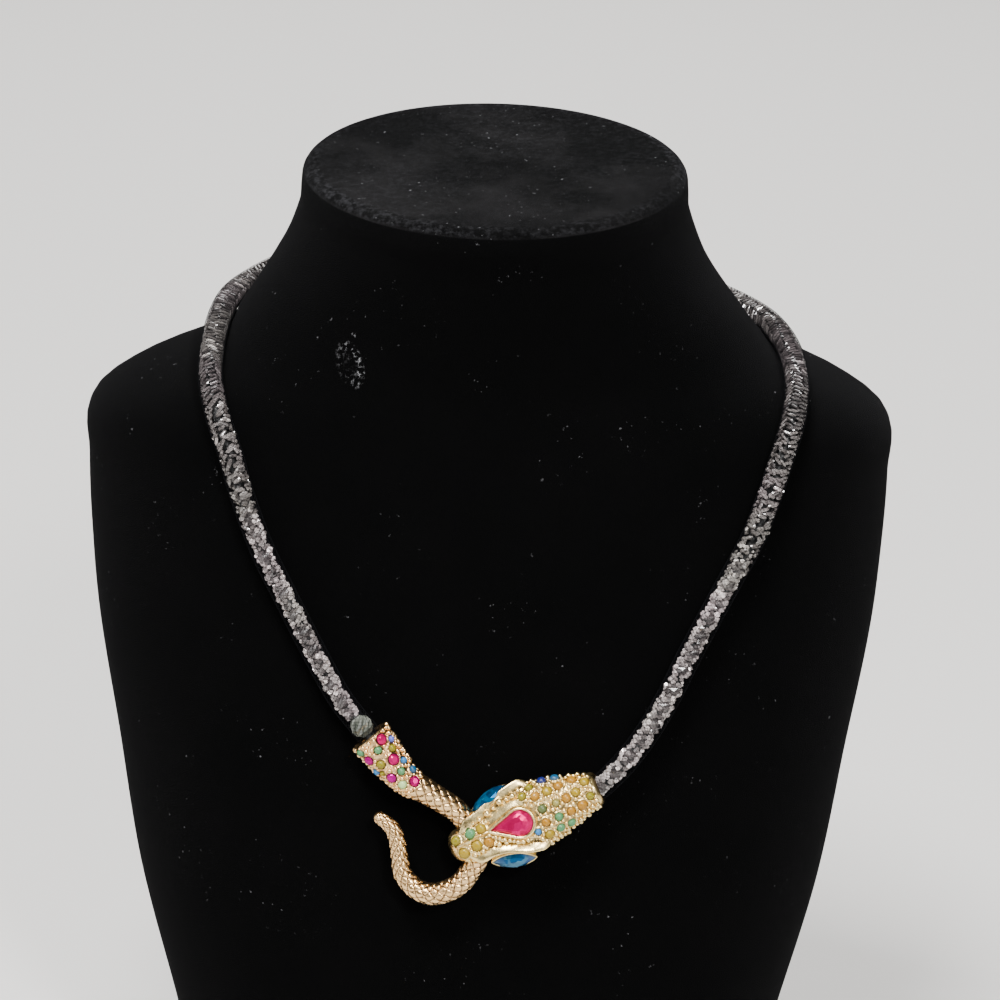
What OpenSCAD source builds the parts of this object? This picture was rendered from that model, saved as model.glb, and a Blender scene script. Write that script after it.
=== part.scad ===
// Snake choker worn on a black velvet neck bust.
// Millimetres. The front of the bust faces -Y and +Z is up.
// The origin is the centre of the flat foot of the bust.

/* [Neck bust] */
// Height from the foot to the middle of the neck rim
bust_height = 257; // [250:1:264]
// Width across the shoulders
shoulder_width = 196; // [192:1:200]
// Depth of the foot from front to back
foot_depth = 104; // [100:1:108]

/* [Mesh tube] */
// Outside diameter of the crystal-filled net tube
tube_d = 6; // [5:0.1:6.2]
// Length of tube hidden in each casting
tube_tuck = 3.8; // [2.5:0.1:4]

/* [Clasp] */
// Height of the clasp's reference point on the chest
clasp_height = 94; // [92:0.5:96]
// Distance of the clasp's middle plane from the chest
clasp_stand = 5.2; // [5:0.1:6]
// Slope of the chest behind the clasp, in degrees
clasp_lean = 8; // [7:0.5:9]

/* [Snake head] */
// Turn of the head in the plane of the chest, in degrees
head_turn = 25; // [23:0.5:27]
// Roll of the head about its own length, in degrees
head_roll = 13; // [10:1:16]
// Length and width of the pear stone on the forehead
pear_size = [10, 6]; // [5:0.5:11]
// Length and width of each eye stone
eye_size = [10, 5]; // [4:0.5:11]

/* [Stones] */
// Height of a domed stone above its flat back
cabochon_height = 1.3; // [1:0.05:1.5]
// Free space between a stone and its seat
stone_gap = 0.1; // [0.08:0.01:0.14]
// Radius of the cast metal grains between the stones
grain_r = 0.55; // [0.4:0.05:0.6]

/* [Hidden] */

velvet = "#1c1c1e";
net = "#77777a";
pale_gilt = "#d9c08c";
rose_gilt = "#d2a878";
hot_pink = "#e0186c";
eye_blue = "#1670a8";

// Sections of the bust, as shares of its height, half width and half depth.
// Columns: height, half width, set back, half depth, squareness, slant of the level.
BUST = [
    [0.000, 0.689, 0.000, 1.000, 2.60, 0.00],
    [0.156, 0.768, 0.023, 0.996, 2.60, 0.00],
    [0.311, 0.869, 0.077, 0.962, 2.60, 0.00],
    [0.447, 0.925, 0.135, 0.923, 2.60, 0.00],
    [0.564, 0.972, 0.177, 0.881, 2.60, 0.00],
    [0.654, 0.990, 0.215, 0.842, 2.60, 0.00],
    [0.716, 0.994, 0.235, 0.804, 2.60, 0.00],
    [0.763, 0.988, 0.240, 0.760, 2.50, 0.02],
    [0.794, 0.877, 0.237, 0.727, 2.40, 0.04],
    [0.825, 0.689, 0.221, 0.702, 2.25, 0.06],
    [0.864, 0.594, 0.202, 0.702, 2.10, 0.09],
    [0.911, 0.524, 0.177, 0.715, 2.05, 0.12],
    [0.961, 0.473, 0.154, 0.750, 2.00, 0.14],
    [0.981, 0.468, 0.154, 0.788, 2.00, 0.14],
    [1.000, 0.464, 0.154, 0.779, 2.00, 0.14]
];
bust_levels = concat([for (h = [0:12:168]) h], [for (h = [176:4:248]) h], [251, 254.5, bust_height]);
bust_step = 9;

// Route of the tube on the bust, from the tail collar round the neck to the head.
// Columns: angle about the neck (270 is the front), level, distance of the axis from the velvet.
ROUTE = [
    [255.2, 138.9, 4.2], [252.1, 148, 3.7], [247, 163.4, 3.6], [243.7, 173.3, 3.6], [240.5, 184.5, 3.6],
    [237.7, 194, 3.6], [230.8, 201.2, 3.5], [219, 206.7, 3.4], [205.1, 210.3, 3.35], [192, 213.7, 3.35],
    [180.7, 216.2, 3.3], [169.5, 217.3, 3.3], [157.9, 218.3, 3.3], [147.1, 219.9, 3.35], [135.5, 221.3, 3.4],
    [121.1, 222.4, 3.5], [104.6, 222.9, 3.6], [89, 222.5, 3.6], [73.5, 221.2, 3.6], [57.2, 219.2, 3.5],
    [41, 216.2, 3.4], [27.4, 213.8, 3.35], [15.9, 212.6, 3.3], [4.3, 211.7, 3.35], [-5.7, 210.4, 3.35],
    [-18, 208.8, 3.35], [-31.2, 206.1, 3.4], [-43.4, 201.2, 3.5], [-51.1, 194.4, 3.6], [-53.9, 186.1, 3.6],
    [-56.9, 176.3, 3.6], [-61, 165.4, 3.6], [-65.8, 151.3, 3.6], [-69.1, 139.6, 3.7], [-71.7, 131.8, 4],
    [-74.5, 125.3, 4.7]
];
tube_lead = 3.4;
tube_sides = 10;
tube_step = 4.7;

// Sections of the snake head from snout to neck.
// Columns: distance from the snout, half width, crown, depth below, height of the axis, squareness.
HEAD = [
    [0.0, 1.2, 1.0, 0.8, 0.3, 2.2],
    [0.8, 3.0, 2.6, 2.6, 0.2, 2.4],
    [2.5, 4.0, 4.0, 4.0, 0.0, 2.8],
    [6.0, 4.6, 4.7, 4.3, 0.0, 3.0],
    [9.5, 5.2, 5.0, 4.3, 0.0, 2.8],
    [13.0, 6.4, 5.3, 4.2, 0.0, 2.4],
    [17.0, 7.5, 5.5, 4.1, 0.0, 2.3],
    [21.0, 7.9, 5.4, 4.1, 0.0, 2.2],
    [25.0, 7.4, 5.1, 4.1, -0.2, 2.1],
    [29.0, 6.4, 4.8, 4.1, -0.6, 2.0],
    [33.0, 5.1, 4.5, 4.1, -1.0, 2.0],
    [36.5, 4.2, 4.2, 4.1, -1.3, 2.0],
    [38.2, 4.1, 4.1, 4.0, -1.4, 2.0]
];
head_levels = [0, 0.3, 0.8, 1.6, 2.5, 4, 6, 8, 9.5, 11, 13, 15, 17, 19, 21, 23, 25, 27, 29, 31, 33, 35,
    36.5, 38.2];
head_step = 15;
head_tip = [-4.6, 9.9, 0];
head_end = HEAD[len(HEAD) - 1];
neck_rim_r = 0.6;

// Middle line of a brow ridge. Columns: distance from the snout, out to the side, height.
BROW = [[4.6, 3.7, 3.8], [8, 4.5, 4.3], [11.5, 5.1, 4.6], [15, 6.1, 4.5], [18.5, 7.0, 3.7], [22.5, 6.9, 2.6]];
// Two short ridges between the snout stones, in the same columns.
SNOUT_RIDGES = [[[1.6, -0.1, 3.3], [4.6, 0.3, 4.5]], [[8.2, 0.35, 4.95], [11, 0.2, 5.15]]];
snout_ridge_r = 0.33;
ridge_r = 0.6;
brow_foot = 0.8;
brow_deep = 1.7;

// Domed stones of the head. Columns: distance from the snout, angle round from the upper side, diameter.
HEAD_STONES = [
    [2.4, 74, 2.3], [3.1, 110, 2.6], [6.3, 76, 2.4], [9.1, 75, 2.3], [6.7, 99, 2.5], [9.7, 102, 2.3],
    [20.9, 51, 1.9], [23.8, 59, 2.1], [26.8, 55, 2.3], [29.6, 48, 2.1], [32.9, 36, 2.2], [35.6, 53, 2.1],
    [23.1, 35, 1.8], [26.3, 20, 2.2], [29.3, 16, 2.2], [32.9, 76, 2.1], [35.7, 102, 1.8], [30.4, 82, 2.1],
    [33.2, 116, 2.4], [24.3, 85, 2.0], [27.8, 84, 1.7], [30.3, 114, 2.0], [27.2, 111, 1.9], [23.9, 108, 2.0],
    [21.3, 117, 1.6], [23.5, 134, 2.2], [26.5, 135, 2.0], [29.2, 141, 2.0]
];

// Middle line of the tail, seen on the clasp's plane. Columns: across, up, out, radius.
TAIL = [
    [-24.1, 36.7, -0.9, 4.75], [-19.8, 31.5, -0.6, 4.2], [-15.3, 26.7, -0.2, 3.3], [-10.2, 23.7, 0, 2.7],
    [-4.3, 20.1, 0, 2.45], [-1.6, 17.4, 0, 2.4], [0.9, 14.3, 0, 2.35], [2.3, 10.9, 0, 2.3],
    [1.9, 7.8, 0, 2.25], [0.7, 5.7, 0, 2.25], [-1.8, 1.9, 0, 2.3], [-5.1, -0.4, 0, 2.35],
    [-9.1, -1.3, 0, 2.3], [-12.9, 0.1, 0, 2.2], [-15.8, 3.5, 0, 1.95], [-16.7, 7.7, 0, 1.75],
    [-17.4, 11.9, 0, 1.7], [-18.8, 15, 0, 1.55], [-22, 17.6, 0, 1.1]
];
collar_end = 2.15;
collar_sides = 20;
scale_rows_from = 1.9;
scale_pitch = 1.22;
scale_columns = 12;
scale_rise = 0.28;
scale_lean = 0.45;
tip_shrink = 0.55;
// Stretch of the tail that the passage through the head leaves room for, and the room itself
mouth_from = 4;
mouth_to = 9;
mouth_gap = 0.4;

// Stones of the collar. Columns: station on TAIL, angle round from the left side, diameter.
TAIL_STONES = [
    [0.44, 29, 1.6], [0.7, 46, 1.8], [0.43, 85, 1.8], [0.17, 138, 1.9], [1.32, 38, 1.6], [0.9, 108, 2.1],
    [1.04, 147, 1.7], [1.84, 26, 1.9], [1.56, 70, 1.8], [1.94, 104, 2.1], [1.2, 127, 1.2]
];
TAIL_RHINESTONES = [[0.21, 57, 2.5], [0.55, 132, 2.3], [1.05, 65, 2.6], [1.52, 114, 2.3], [2.25, 62, 2.4]];

// Seats, sockets and grains. A cut runs on by cut_over so that it leaves the metal.
seat_depth = 0.55;
cut_over = 4;
socket_play = 0.6;
socket_end = 0.4;
grain_root = 0.6;
dome_share = 0.62;
// Rows of grains along the collar: first station, pitch, rows, first angle, pitch, last angle
collar_grains = [0.12, 0.27, 8, 24, 20, 168];
// Rows of grains behind the eyes: first distance from the snout, then the same columns
crown_grains = [23.2, 1.8, 8, 26, 16, 154];
// Grains beside the pear stone: first distance, pitch, grains, first angle off the crown, pitch
pear_grains = [9.8, 1.7, 5, 22, 2.2];

// Smooth value of column c of a table at x, with rows joined by cubic curves
function row_below(tab, x, i = 0) = i >= len(tab) - 2 || x < tab[i + 1][0] ? i : row_below(tab, x, i + 1);
function slope(tab, c, i) = let(a = max(i - 1, 0), b = min(i + 1, len(tab) - 1))
    (tab[b][c] - tab[a][c]) / (tab[b][0] - tab[a][0]);
function smooth(tab, c, x) = let(
        i = row_below(tab, x),
        h = tab[i + 1][0] - tab[i][0],
        u = (x - tab[i][0]) / h)
    (2 * pow(u, 3) - 3 * pow(u, 2) + 1) * tab[i][c]
    + (pow(u, 3) - 2 * pow(u, 2) + u) * h * slope(tab, c, i)
    + (3 * pow(u, 2) - 2 * pow(u, 3)) * tab[i + 1][c]
    + (pow(u, 3) - pow(u, 2)) * h * slope(tab, c, i + 1);

// Rounded-square section: n = 2 is an ellipse, and more is squarer
function lobe(c, n) = sign(c) * pow(abs(c), 2 / n);
function unit(v) = v / norm(v);
function xyz(v) = [v[0], v[1], v[2]];

// Smooth curve through points p, where t counts them from 0
function along(p, t) = let(
        n = len(p) - 1,
        i = max(0, min(floor(t), n - 1)),
        u = t - i,
        a = i > 0 ? p[i - 1] : 2 * p[0] - p[1],
        d = i < n - 1 ? p[i + 2] : 2 * p[n] - p[n - 1])
    0.5 * (2 * p[i] + (p[i + 1] - a) * u + (2 * a - 5 * p[i] + 4 * p[i + 1] - d) * pow(u, 2)
        + (3 * p[i] - a - 3 * p[i + 1] + d) * pow(u, 3));
// Stations on that curve about one step apart
function stations(p, step) = [for (i = [0:len(p) - 2])
    let(n = max(1, round(norm(xyz(p[i + 1] - p[i])) / step))) for (k = [0:n - 1]) i + k / n];

// Point of the bust at angle a and level h, and the direction out of its velvet
function bust_point(a, h) = let(
        u = h / bust_height,
        n = smooth(BUST, 4, u),
        reach = smooth(BUST, 3, u) * foot_depth / 2 * lobe(sin(a), n))
    [smooth(BUST, 1, u) * shoulder_width / 2 * lobe(cos(a), n),
        smooth(BUST, 2, u) * foot_depth / 2 + reach,
        h + smooth(BUST, 5, u) * reach];
function bust_normal(a, h) = unit(cross(bust_point(a + 1, h) - bust_point(a - 1, h),
    bust_point(a, h + 0.5) - bust_point(a, h - 0.5)));
// Depth of the front of the chest at one place across it
function chest_y(x, h) = let(u = h / bust_height, n = smooth(BUST, 4, u))
    foot_depth / 2 * (smooth(BUST, 2, u) - smooth(BUST, 3, u)
        * pow(1 - pow(abs(x) / (smooth(BUST, 1, u) * shoulder_width / 2), n), 1 / n));

// The clasp's own plane: X across, Y up the chest, Z out of it
clasp_x = -2;
clasp_out = [0, -cos(clasp_lean), sin(clasp_lean)];
clasp_up = [0, sin(clasp_lean), cos(clasp_lean)];
clasp_origin = [clasp_x, chest_y(clasp_x, clasp_height), clasp_height] + clasp_stand * clasp_out;
function from_clasp(p) = clasp_origin + [p[0], 0, 0] + p[1] * clasp_up + p[2] * clasp_out;
module on_clasp() {
    translate(clasp_origin) rotate([90 - clasp_lean, 0, 0]) children();
}

// The head's own frame: X from snout to neck, Y to its upper side, Z out of its crown
function from_head(p) = from_clasp(head_tip
    + [p[0] * cos(head_turn), p[0] * sin(head_turn), 0]
    + (p[1] * cos(head_roll) + p[2] * sin(head_roll)) * [-sin(head_turn), cos(head_turn), 0]
    + [0, 0, p[2] * cos(head_roll) - p[1] * sin(head_roll)]);
module on_head() {
    on_clasp() translate(head_tip) rotate([0, 0, head_turn]) rotate([-head_roll, 0, 0]) children();
}
function head_point(s, a) = let(n = smooth(HEAD, 5, s))
    [s, smooth(HEAD, 1, s) * lobe(cos(a), n),
        smooth(HEAD, 4, s) + smooth(HEAD, sin(a) > 0 ? 2 : 3, s) * lobe(sin(a), n)];
function head_normal(s, a) = unit(cross(head_point(s, a + 2) - head_point(s, a - 2),
    head_point(s + 0.2, a) - head_point(s - 0.2, a)));

// Point of the tail at station t and angle a, and the direction out of it
function tail_way(t) = unit(xyz(along(TAIL, t + 0.04) - along(TAIL, t - 0.04)));
function tail_side(t) = unit(cross([0, 0, 1], tail_way(t)));
function tail_normal(t, a) = cos(a) * tail_side(t) + sin(a) * cross(tail_way(t), tail_side(t));
function tail_point(t, a, rise = 0) = xyz(along(TAIL, t)) + (along(TAIL, t)[3] + rise) * tail_normal(t, a);

// A closed solid through rings of points. With diamond set, every other point is a peak
// and the faces meet along the valleys between the peaks.
module skin(rings, diamond = false) {
    n = len(rings[0]);
    last = (len(rings) - 1) * n;
    sides = [for (i = [0:len(rings) - 2], j = [0:n - 1]) let(
            a = i * n + j,
            b = i * n + (j + 1) % n,
            valley_first = diamond && (i + j) % 2 == 1)
        each (diamond && !valley_first ? [[a, a + n, b], [b, a + n, b + n]]
            : [[a, a + n, b + n], [a, b + n, b]])];
    polyhedron(points = [for (r = rings) each r],
        faces = concat([[for (j = [0:n - 1]) j]], sides, [[for (j = [n - 1:-1:0]) last + j]]));
}

// Turns and moves a piece so that its Z axis leaves point p in direction n
module stand_on(p, n) {
    translate(p) rotate([0, acos(n[2]), atan2(n[1], n[0])]) children();
}

// Outlines of the two fancy cuts, pointed along X
function navette(l, w) = let(r = (l * l + w * w) / (4 * w), half = asin(l / 2 / r), n = 6) concat(
    [for (i = [0:n]) let(t = half * (1 - 2 * i / n)) [r * sin(t), r * cos(t) - r + w / 2]],
    [for (i = [1:n - 1]) let(t = half * (2 * i / n - 1)) [r * sin(t), r - w / 2 - r * cos(t)]]);
function pear(l, w) = let(r = w / 2, wide = 180 - acos(r / (l - r)), n = 12) concat(
    [for (i = [0:n]) let(t = wide * (2 * i / n - 1)) [l / 2 - r + r * cos(t), r * sin(t)]], [[-l / 2, 0]]);

// A cut stone over the outline it is given: flat back, girdle at z = 0, and a table on top
module cut_stone(below, above, table = 0.6) {
    skin_t = 0.02;
    girdle_t = 0.3;
    back = 0.7;
    hull() {
        translate([0, 0, -below]) linear_extrude(skin_t) scale(back) children();
        linear_extrude(girdle_t) children();
        translate([0, 0, above - skin_t]) linear_extrude(skin_t) scale(table) children();
    }
}

// A domed stone with its flat back on z = 0
module cabochon(d) {
    dome_r = d * dome_share;
    intersection() {
        cylinder(d = d, h = cabochon_height, $fn = 32);
        translate([0, 0, cabochon_height - dome_r]) sphere(dome_r, $fn = 32);
    }
}
module seat(d) {
    translate([0, 0, -seat_depth]) cylinder(d = d + 2 * stone_gap, h = cut_over, $fn = 10);
}
module grain() {
    hull() {
        sphere(grain_r, $fn = 6);
        translate([0, 0, -grain_root]) cylinder(r = grain_r, h = 0.2, $fn = 6);
    }
}
// Room for the tube's end, from a casting's mouth at the origin down -Z
module socket() {
    translate([0, 0, -tube_tuck - socket_end])
        cylinder(d = tube_d + socket_play, h = tube_tuck + cut_over, $fn = 20);
}

// A rounded ridge through points p, with its foot at the same share of Y and deeper in the metal
module ridge(p, r, foot_y = 1, foot_z = 0) {
    for (i = [0:len(p) - 2]) hull() for (k = [0, 1], foot = [0, 1])
        translate([p[i + k][0], p[i + k][1] * (foot ? foot_y : 1), p[i + k][2] - foot * foot_z])
            sphere(r, $fn = 6);
}

module neck_bust() {
    color(velvet) skin([for (h = bust_levels) [for (a = [0:bust_step:359]) bust_point(a, h)]]);
}

// Axis of the tube with the direction out of the velvet at each point
tail_out = -tail_way(0);
tube_axis = concat(
    [for (d = [-tube_tuck, 0, tube_lead]) from_clasp(xyz(TAIL[0]) + d * tail_out)],
    [for (r = ROUTE) bust_point(r[0], r[1]) + r[2] * bust_normal(r[0], r[1])],
    [for (d = [0, -tube_tuck]) from_head([head_end[0] + d, 0, head_end[4]])]);
tube_up = concat([for (d = [0:2]) clasp_out], [for (r = ROUTE) bust_normal(r[0], r[1])],
    [for (d = [0:1]) clasp_out]);
tube_end = len(tube_axis) - 1;
module mesh_tube() {
    rings = [for (t = concat(stations(tube_axis, tube_step), [tube_end])) let(
            way = unit(along(tube_axis, min(t + 0.03, tube_end)) - along(tube_axis, max(t - 0.03, 0))),
            up = along(tube_up, t),
            side = unit(cross(way, up)),
            out = cross(side, way))
        [for (j = [0:tube_sides - 1]) let(a = 360 * j / tube_sides)
            along(tube_axis, t) + tube_d / 2 * (cos(a) * out + sin(a) * side)]];
    color(net) skin(rings);
}

// Places of the two eyes, the pear stone and the grains on the head
upper_eye = [13.2, 7.6, 1.0];
upper_tilt = 26;
lower_eye = [13.2, 7.9, 1.6];
lower_tilt = 38;
eye_yaw = 15;
module on_eye(side) {
    lower = side < 0;
    mirror([0, lower ? 1 : 0, 0]) translate(lower ? lower_eye : upper_eye) rotate([0, 0, eye_yaw])
        rotate([(lower ? lower_tilt : upper_tilt) - 90, 0, 0]) children();
}
pear_at = [16.3, 0, 5.9];
pear_turn = -8;
module on_forehead() {
    translate(pear_at) rotate([0, 0, pear_turn]) children();
}
// Places in rows, where every other row is shifted by half a pitch
function staggered(g) = [for (i = [0:g[2] - 1], a = [g[3]:g[4]:g[5]])
    [g[0] + g[1] * i, a + g[4] / 2 * (i % 2)]];
function clear_of(p, stones, points) = min([for (i = [0:len(stones) - 1])
    norm(p - points[i]) - stones[i][2] / 2]) > grain_r + 0.12;
head_stone_points = [for (k = HEAD_STONES) head_point(k[0], k[1])];
function clear_on_head(places) = [for (g = places)
    if (clear_of(head_point(g[0], g[1]), HEAD_STONES, head_stone_points)) g];
head_grains = clear_on_head(concat(
    staggered(crown_grains),
    [for (side = [-1, 1], i = [0:pear_grains[2] - 1])
        [pear_grains[0] + pear_grains[1] * i, 90 - side * (pear_grains[3] + pear_grains[4] * i)]]));

// Bezels: how much longer and wider than the stone, at the lip and at the root, and their depths
eye_back = 1.1;
eye_lip = [1.7, 1.4];
eye_root = [-1.6, -1.8];
eye_rim = 0.2;
eye_cup = 3;
pear_back = 0.95;
pear_lip = [1.9, 1.4];
pear_rim = 0.3;
pear_cup = 2.5;
// Extra length of a pointed pocket over its stone, as a share of the gap all round
point_share = 3.4;

module head_body() {
    skin([for (s = head_levels) [for (a = [0:head_step:359]) head_point(s, a)]]);
    translate([head_end[0] - neck_rim_r, 0, head_end[4]]) rotate([0, 90, 0])
        rotate_extrude($fn = 20) translate([head_end[1] - 0.1, 0]) circle(neck_rim_r, $fn = 6);
    for (side = [-1, 1]) {
        ridge([for (b = BROW) [b[0], side * b[1], b[2]]], ridge_r, brow_foot, brow_deep);
        on_eye(side) hull() {
            linear_extrude(eye_rim)
                polygon(navette(eye_size[0] + eye_lip[0], eye_size[1] + eye_lip[1]));
            translate([0, 0, -eye_cup]) linear_extrude(eye_rim)
                polygon(navette(eye_size[0] + eye_root[0], eye_size[1] + eye_root[1]));
        }
    }
    for (line = SNOUT_RIDGES) ridge(line, snout_ridge_r);
    on_forehead() translate([0, 0, -pear_cup]) linear_extrude(pear_cup + pear_rim)
        polygon(pear(pear_size[0] + pear_lip[0], pear_size[1] + pear_lip[1]));
    for (g = head_grains) stand_on(head_point(g[0], g[1]), head_normal(g[0], g[1])) grain();
}

module head_casting() {
    color(pale_gilt) difference() {
        on_head() difference() {
            head_body();
            for (side = [-1, 1]) on_eye(side) translate([0, 0, -eye_back - stone_gap])
                linear_extrude(cut_over)
                polygon(navette(eye_size[0] + point_share * stone_gap, eye_size[1] + 2 * stone_gap));
            on_forehead() translate([0, 0, -pear_back - stone_gap]) linear_extrude(cut_over)
                polygon(pear(pear_size[0] + point_share * stone_gap, pear_size[1] + 2 * stone_gap));
            for (k = HEAD_STONES)
                stand_on(head_point(k[0], k[1]), head_normal(k[0], k[1])) seat(k[2]);
            translate([head_end[0], 0, head_end[4]]) rotate([0, 90, 0]) socket();
        }
        on_clasp() skin([for (t = [mouth_from:0.5:mouth_to])
            [for (a = [0:36:324]) tail_point(t, a, scale_rise + mouth_gap)]]);
    }
}

module tail_hook() {
    collar_stones = concat(TAIL_STONES, TAIL_RHINESTONES);
    collar_points = [for (k = collar_stones) tail_point(k[0], k[1])];
    scale_at = concat([for (t = stations(TAIL, scale_pitch)) if (t > scale_rows_from) t],
        [len(TAIL) - 1.02]);
    last = len(scale_at) - 1;
    color(rose_gilt) on_clasp() difference() {
        union() {
            skin([for (t = [0:collar_end / 10:collar_end + 0.01])
                [for (a = [0:360 / collar_sides:359]) tail_point(t, a)]]);
            skin([for (i = [0:last]) [for (j = [0:scale_columns - 1]) let(
                    peak = (i + j) % 2 == 0 && i > 0 && i < last,
                    t = scale_at[i] - (peak ? scale_lean * (scale_at[i] - scale_at[i - 1]) : 0),
                    tip = i == last ? -tip_shrink : 0)
                tail_point(t, 360 * j / scale_columns, tip + (peak ? scale_rise : 0))]], true);
            for (g = staggered(collar_grains)) let(p = tail_point(g[0], g[1]))
                if (clear_of(p, collar_stones, collar_points)) stand_on(p, tail_normal(g[0], g[1])) grain();
        }
        for (k = collar_stones) stand_on(tail_point(k[0], k[1]), tail_normal(k[0], k[1])) seat(k[2]);
        stand_on(xyz(TAIL[0]), tail_out) socket();
    }
}

module forehead_stone() {
    color(hot_pink) on_head() on_forehead() cut_stone(pear_back, 1.1)
        polygon(pear(pear_size[0], pear_size[1]));
}
module eye_stone(side) {
    color(eye_blue) on_head() on_eye(side) cut_stone(eye_back, 1.4, 0.5)
        polygon(navette(eye_size[0], eye_size[1]));
}
module eye_upper() {
    eye_stone(1);
}
module eye_lower() {
    eye_stone(-1);
}

module head_cabochons() {
    color("#d8bf5a") on_head() for (k = HEAD_STONES)
        stand_on(head_point(k[0], k[1]), head_normal(k[0], k[1]))
            translate([0, 0, stone_gap - seat_depth]) cabochon(k[2]);
}
module tail_cabochons() {
    color("#a9cdb4") on_clasp() for (k = TAIL_STONES)
        stand_on(tail_point(k[0], k[1]), tail_normal(k[0], k[1]))
            translate([0, 0, stone_gap - seat_depth]) cabochon(k[2]);
}
module tail_rhinestones() {
    color(hot_pink) on_clasp() for (k = TAIL_RHINESTONES)
        stand_on(tail_point(k[0], k[1]), tail_normal(k[0], k[1]))
            translate([0, 0, 0.1]) cut_stone(seat_depth, 0.75) circle(d = k[2], $fn = 8);
}

neck_bust();
mesh_tube();
head_casting();
tail_hook();
forehead_stone();
eye_upper();
eye_lower();
head_cabochons();
tail_cabochons();
tail_rhinestones();
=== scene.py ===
"""Snake choker of crystal-filled net with a jewelled clasp, worn on a black velvet neck bust."""
import math

import bmesh
import bpy
import numpy as np
from mathutils import Matrix, Vector


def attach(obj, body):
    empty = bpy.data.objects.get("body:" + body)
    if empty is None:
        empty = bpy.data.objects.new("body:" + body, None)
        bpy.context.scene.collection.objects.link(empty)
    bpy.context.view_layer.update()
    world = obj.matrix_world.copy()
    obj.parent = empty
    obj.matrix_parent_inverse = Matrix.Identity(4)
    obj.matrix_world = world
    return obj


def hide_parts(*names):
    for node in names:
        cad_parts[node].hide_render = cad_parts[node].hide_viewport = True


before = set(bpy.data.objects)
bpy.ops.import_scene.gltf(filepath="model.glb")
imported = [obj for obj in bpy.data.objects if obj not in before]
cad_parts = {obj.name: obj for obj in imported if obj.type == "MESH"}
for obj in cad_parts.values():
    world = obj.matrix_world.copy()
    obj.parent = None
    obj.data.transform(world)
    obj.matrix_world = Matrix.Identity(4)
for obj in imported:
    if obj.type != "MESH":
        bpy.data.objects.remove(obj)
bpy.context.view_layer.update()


# Camera
# It stands 0.8 m from the chest, 20 degrees above level, and leans a little to one side.
aim = Vector((0.003, -0.024, 0.184))
stand_off = 0.8
rise = math.radians(20)
lean = math.radians(1.4)
sensor_width = 36
lens_ratio = 3.404
away = Vector((0, -math.cos(rise), math.sin(rise)))
camera = bpy.data.objects.new("camera", bpy.data.cameras.new("camera"))
camera.data.sensor_width = sensor_width
camera.data.lens = sensor_width * lens_ratio
camera.location = aim + stand_off * away
level_view = away.to_track_quat("Z", "Y").to_matrix()
camera.rotation_euler = (level_view @ Matrix.Rotation(lean, 3, "Z")).to_euler()
bpy.context.scene.collection.objects.link(camera)
bpy.context.scene.camera = camera


# Neck bust
# A moulded shell covered in black velvet, with a flat disc on the neck. The pile is short and
# dull, catches white lint, and is rubbed at the disc's edge and in one patch on the chest.
bust_height = 257
half_width = 98
half_depth = 52
BUST = np.array([
    # level, half width, set back, half depth, squareness, slant
    [0.000, 0.689, 0.000, 1.000, 2.60, 0.00], [0.156, 0.768, 0.023, 0.996, 2.60, 0.00],
    [0.311, 0.869, 0.077, 0.962, 2.60, 0.00], [0.447, 0.925, 0.135, 0.923, 2.60, 0.00],
    [0.564, 0.972, 0.177, 0.881, 2.60, 0.00], [0.654, 0.990, 0.215, 0.842, 2.60, 0.00],
    [0.716, 0.994, 0.235, 0.804, 2.60, 0.00], [0.763, 0.988, 0.240, 0.760, 2.50, 0.02],
    [0.794, 0.877, 0.237, 0.727, 2.40, 0.04], [0.825, 0.689, 0.221, 0.702, 2.25, 0.06],
    [0.864, 0.594, 0.202, 0.702, 2.10, 0.09], [0.911, 0.524, 0.177, 0.715, 2.05, 0.12],
    [0.961, 0.473, 0.154, 0.750, 2.00, 0.14], [0.981, 0.468, 0.154, 0.788, 2.00, 0.14],
    [1.000, 0.464, 0.154, 0.779, 2.00, 0.14]])


def smooth_rows(rows, x):
    """All columns of a table at x. Between two rows it is the cubic that has the rows' own values
    and, at each row, the slope from the row before it to the row after it."""
    rows = np.asarray(rows, float)
    key = rows[:, 0]
    last = len(key) - 1
    i = np.clip(np.searchsorted(key, x, "right") - 1, 0, last - 1)
    before = np.maximum(np.arange(last + 1) - 1, 0)
    after = np.minimum(np.arange(last + 1) + 1, last)
    slopes = (rows[after] - rows[before]) / (key[after] - key[before])[:, None]
    step = (key[i + 1] - key[i])[..., None]
    u = (x - key[i])[..., None] / step
    return ((2 * u ** 3 - 3 * u ** 2 + 1) * rows[i] + (u ** 3 - 2 * u ** 2 + u) * step * slopes[i]
            + (3 * u ** 2 - 2 * u ** 3) * rows[i + 1] + (u ** 3 - u ** 2) * step * slopes[i + 1])


def unit(v):
    return v / np.linalg.norm(v, axis=-1, keepdims=True)


def lobe(c, n):
    """The cosine or sine of a rounded square: its size to the power 2 / n, with its own sign. For
    n = 2 it is a circle, and a larger n is squarer."""
    return np.sign(c) * np.abs(c) ** (2 / n)


def bust_point(angle, level, shrink=1.0):
    """A point of the bust. Each level is a rounded-square ring, set back from the middle and
    slanted up towards the back. Shrink draws the ring in."""
    row = smooth_rows(BUST, level / bust_height)
    reach = shrink * row[..., 3] * half_depth * lobe(np.sin(angle), row[..., 4])
    return np.stack([shrink * row[..., 1] * half_width * lobe(np.cos(angle), row[..., 4]),
                     row[..., 2] * half_depth + reach,
                     level + row[..., 5] * reach], -1)


def bust_normal(angle, level):
    """The direction out of the velvet, square to the ring and to the way up."""
    across = bust_point(angle + 0.02, level) - bust_point(angle - 0.02, level)
    return unit(np.cross(across, bust_point(angle, level + 0.5) - bust_point(angle, level - 0.5)))


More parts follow.
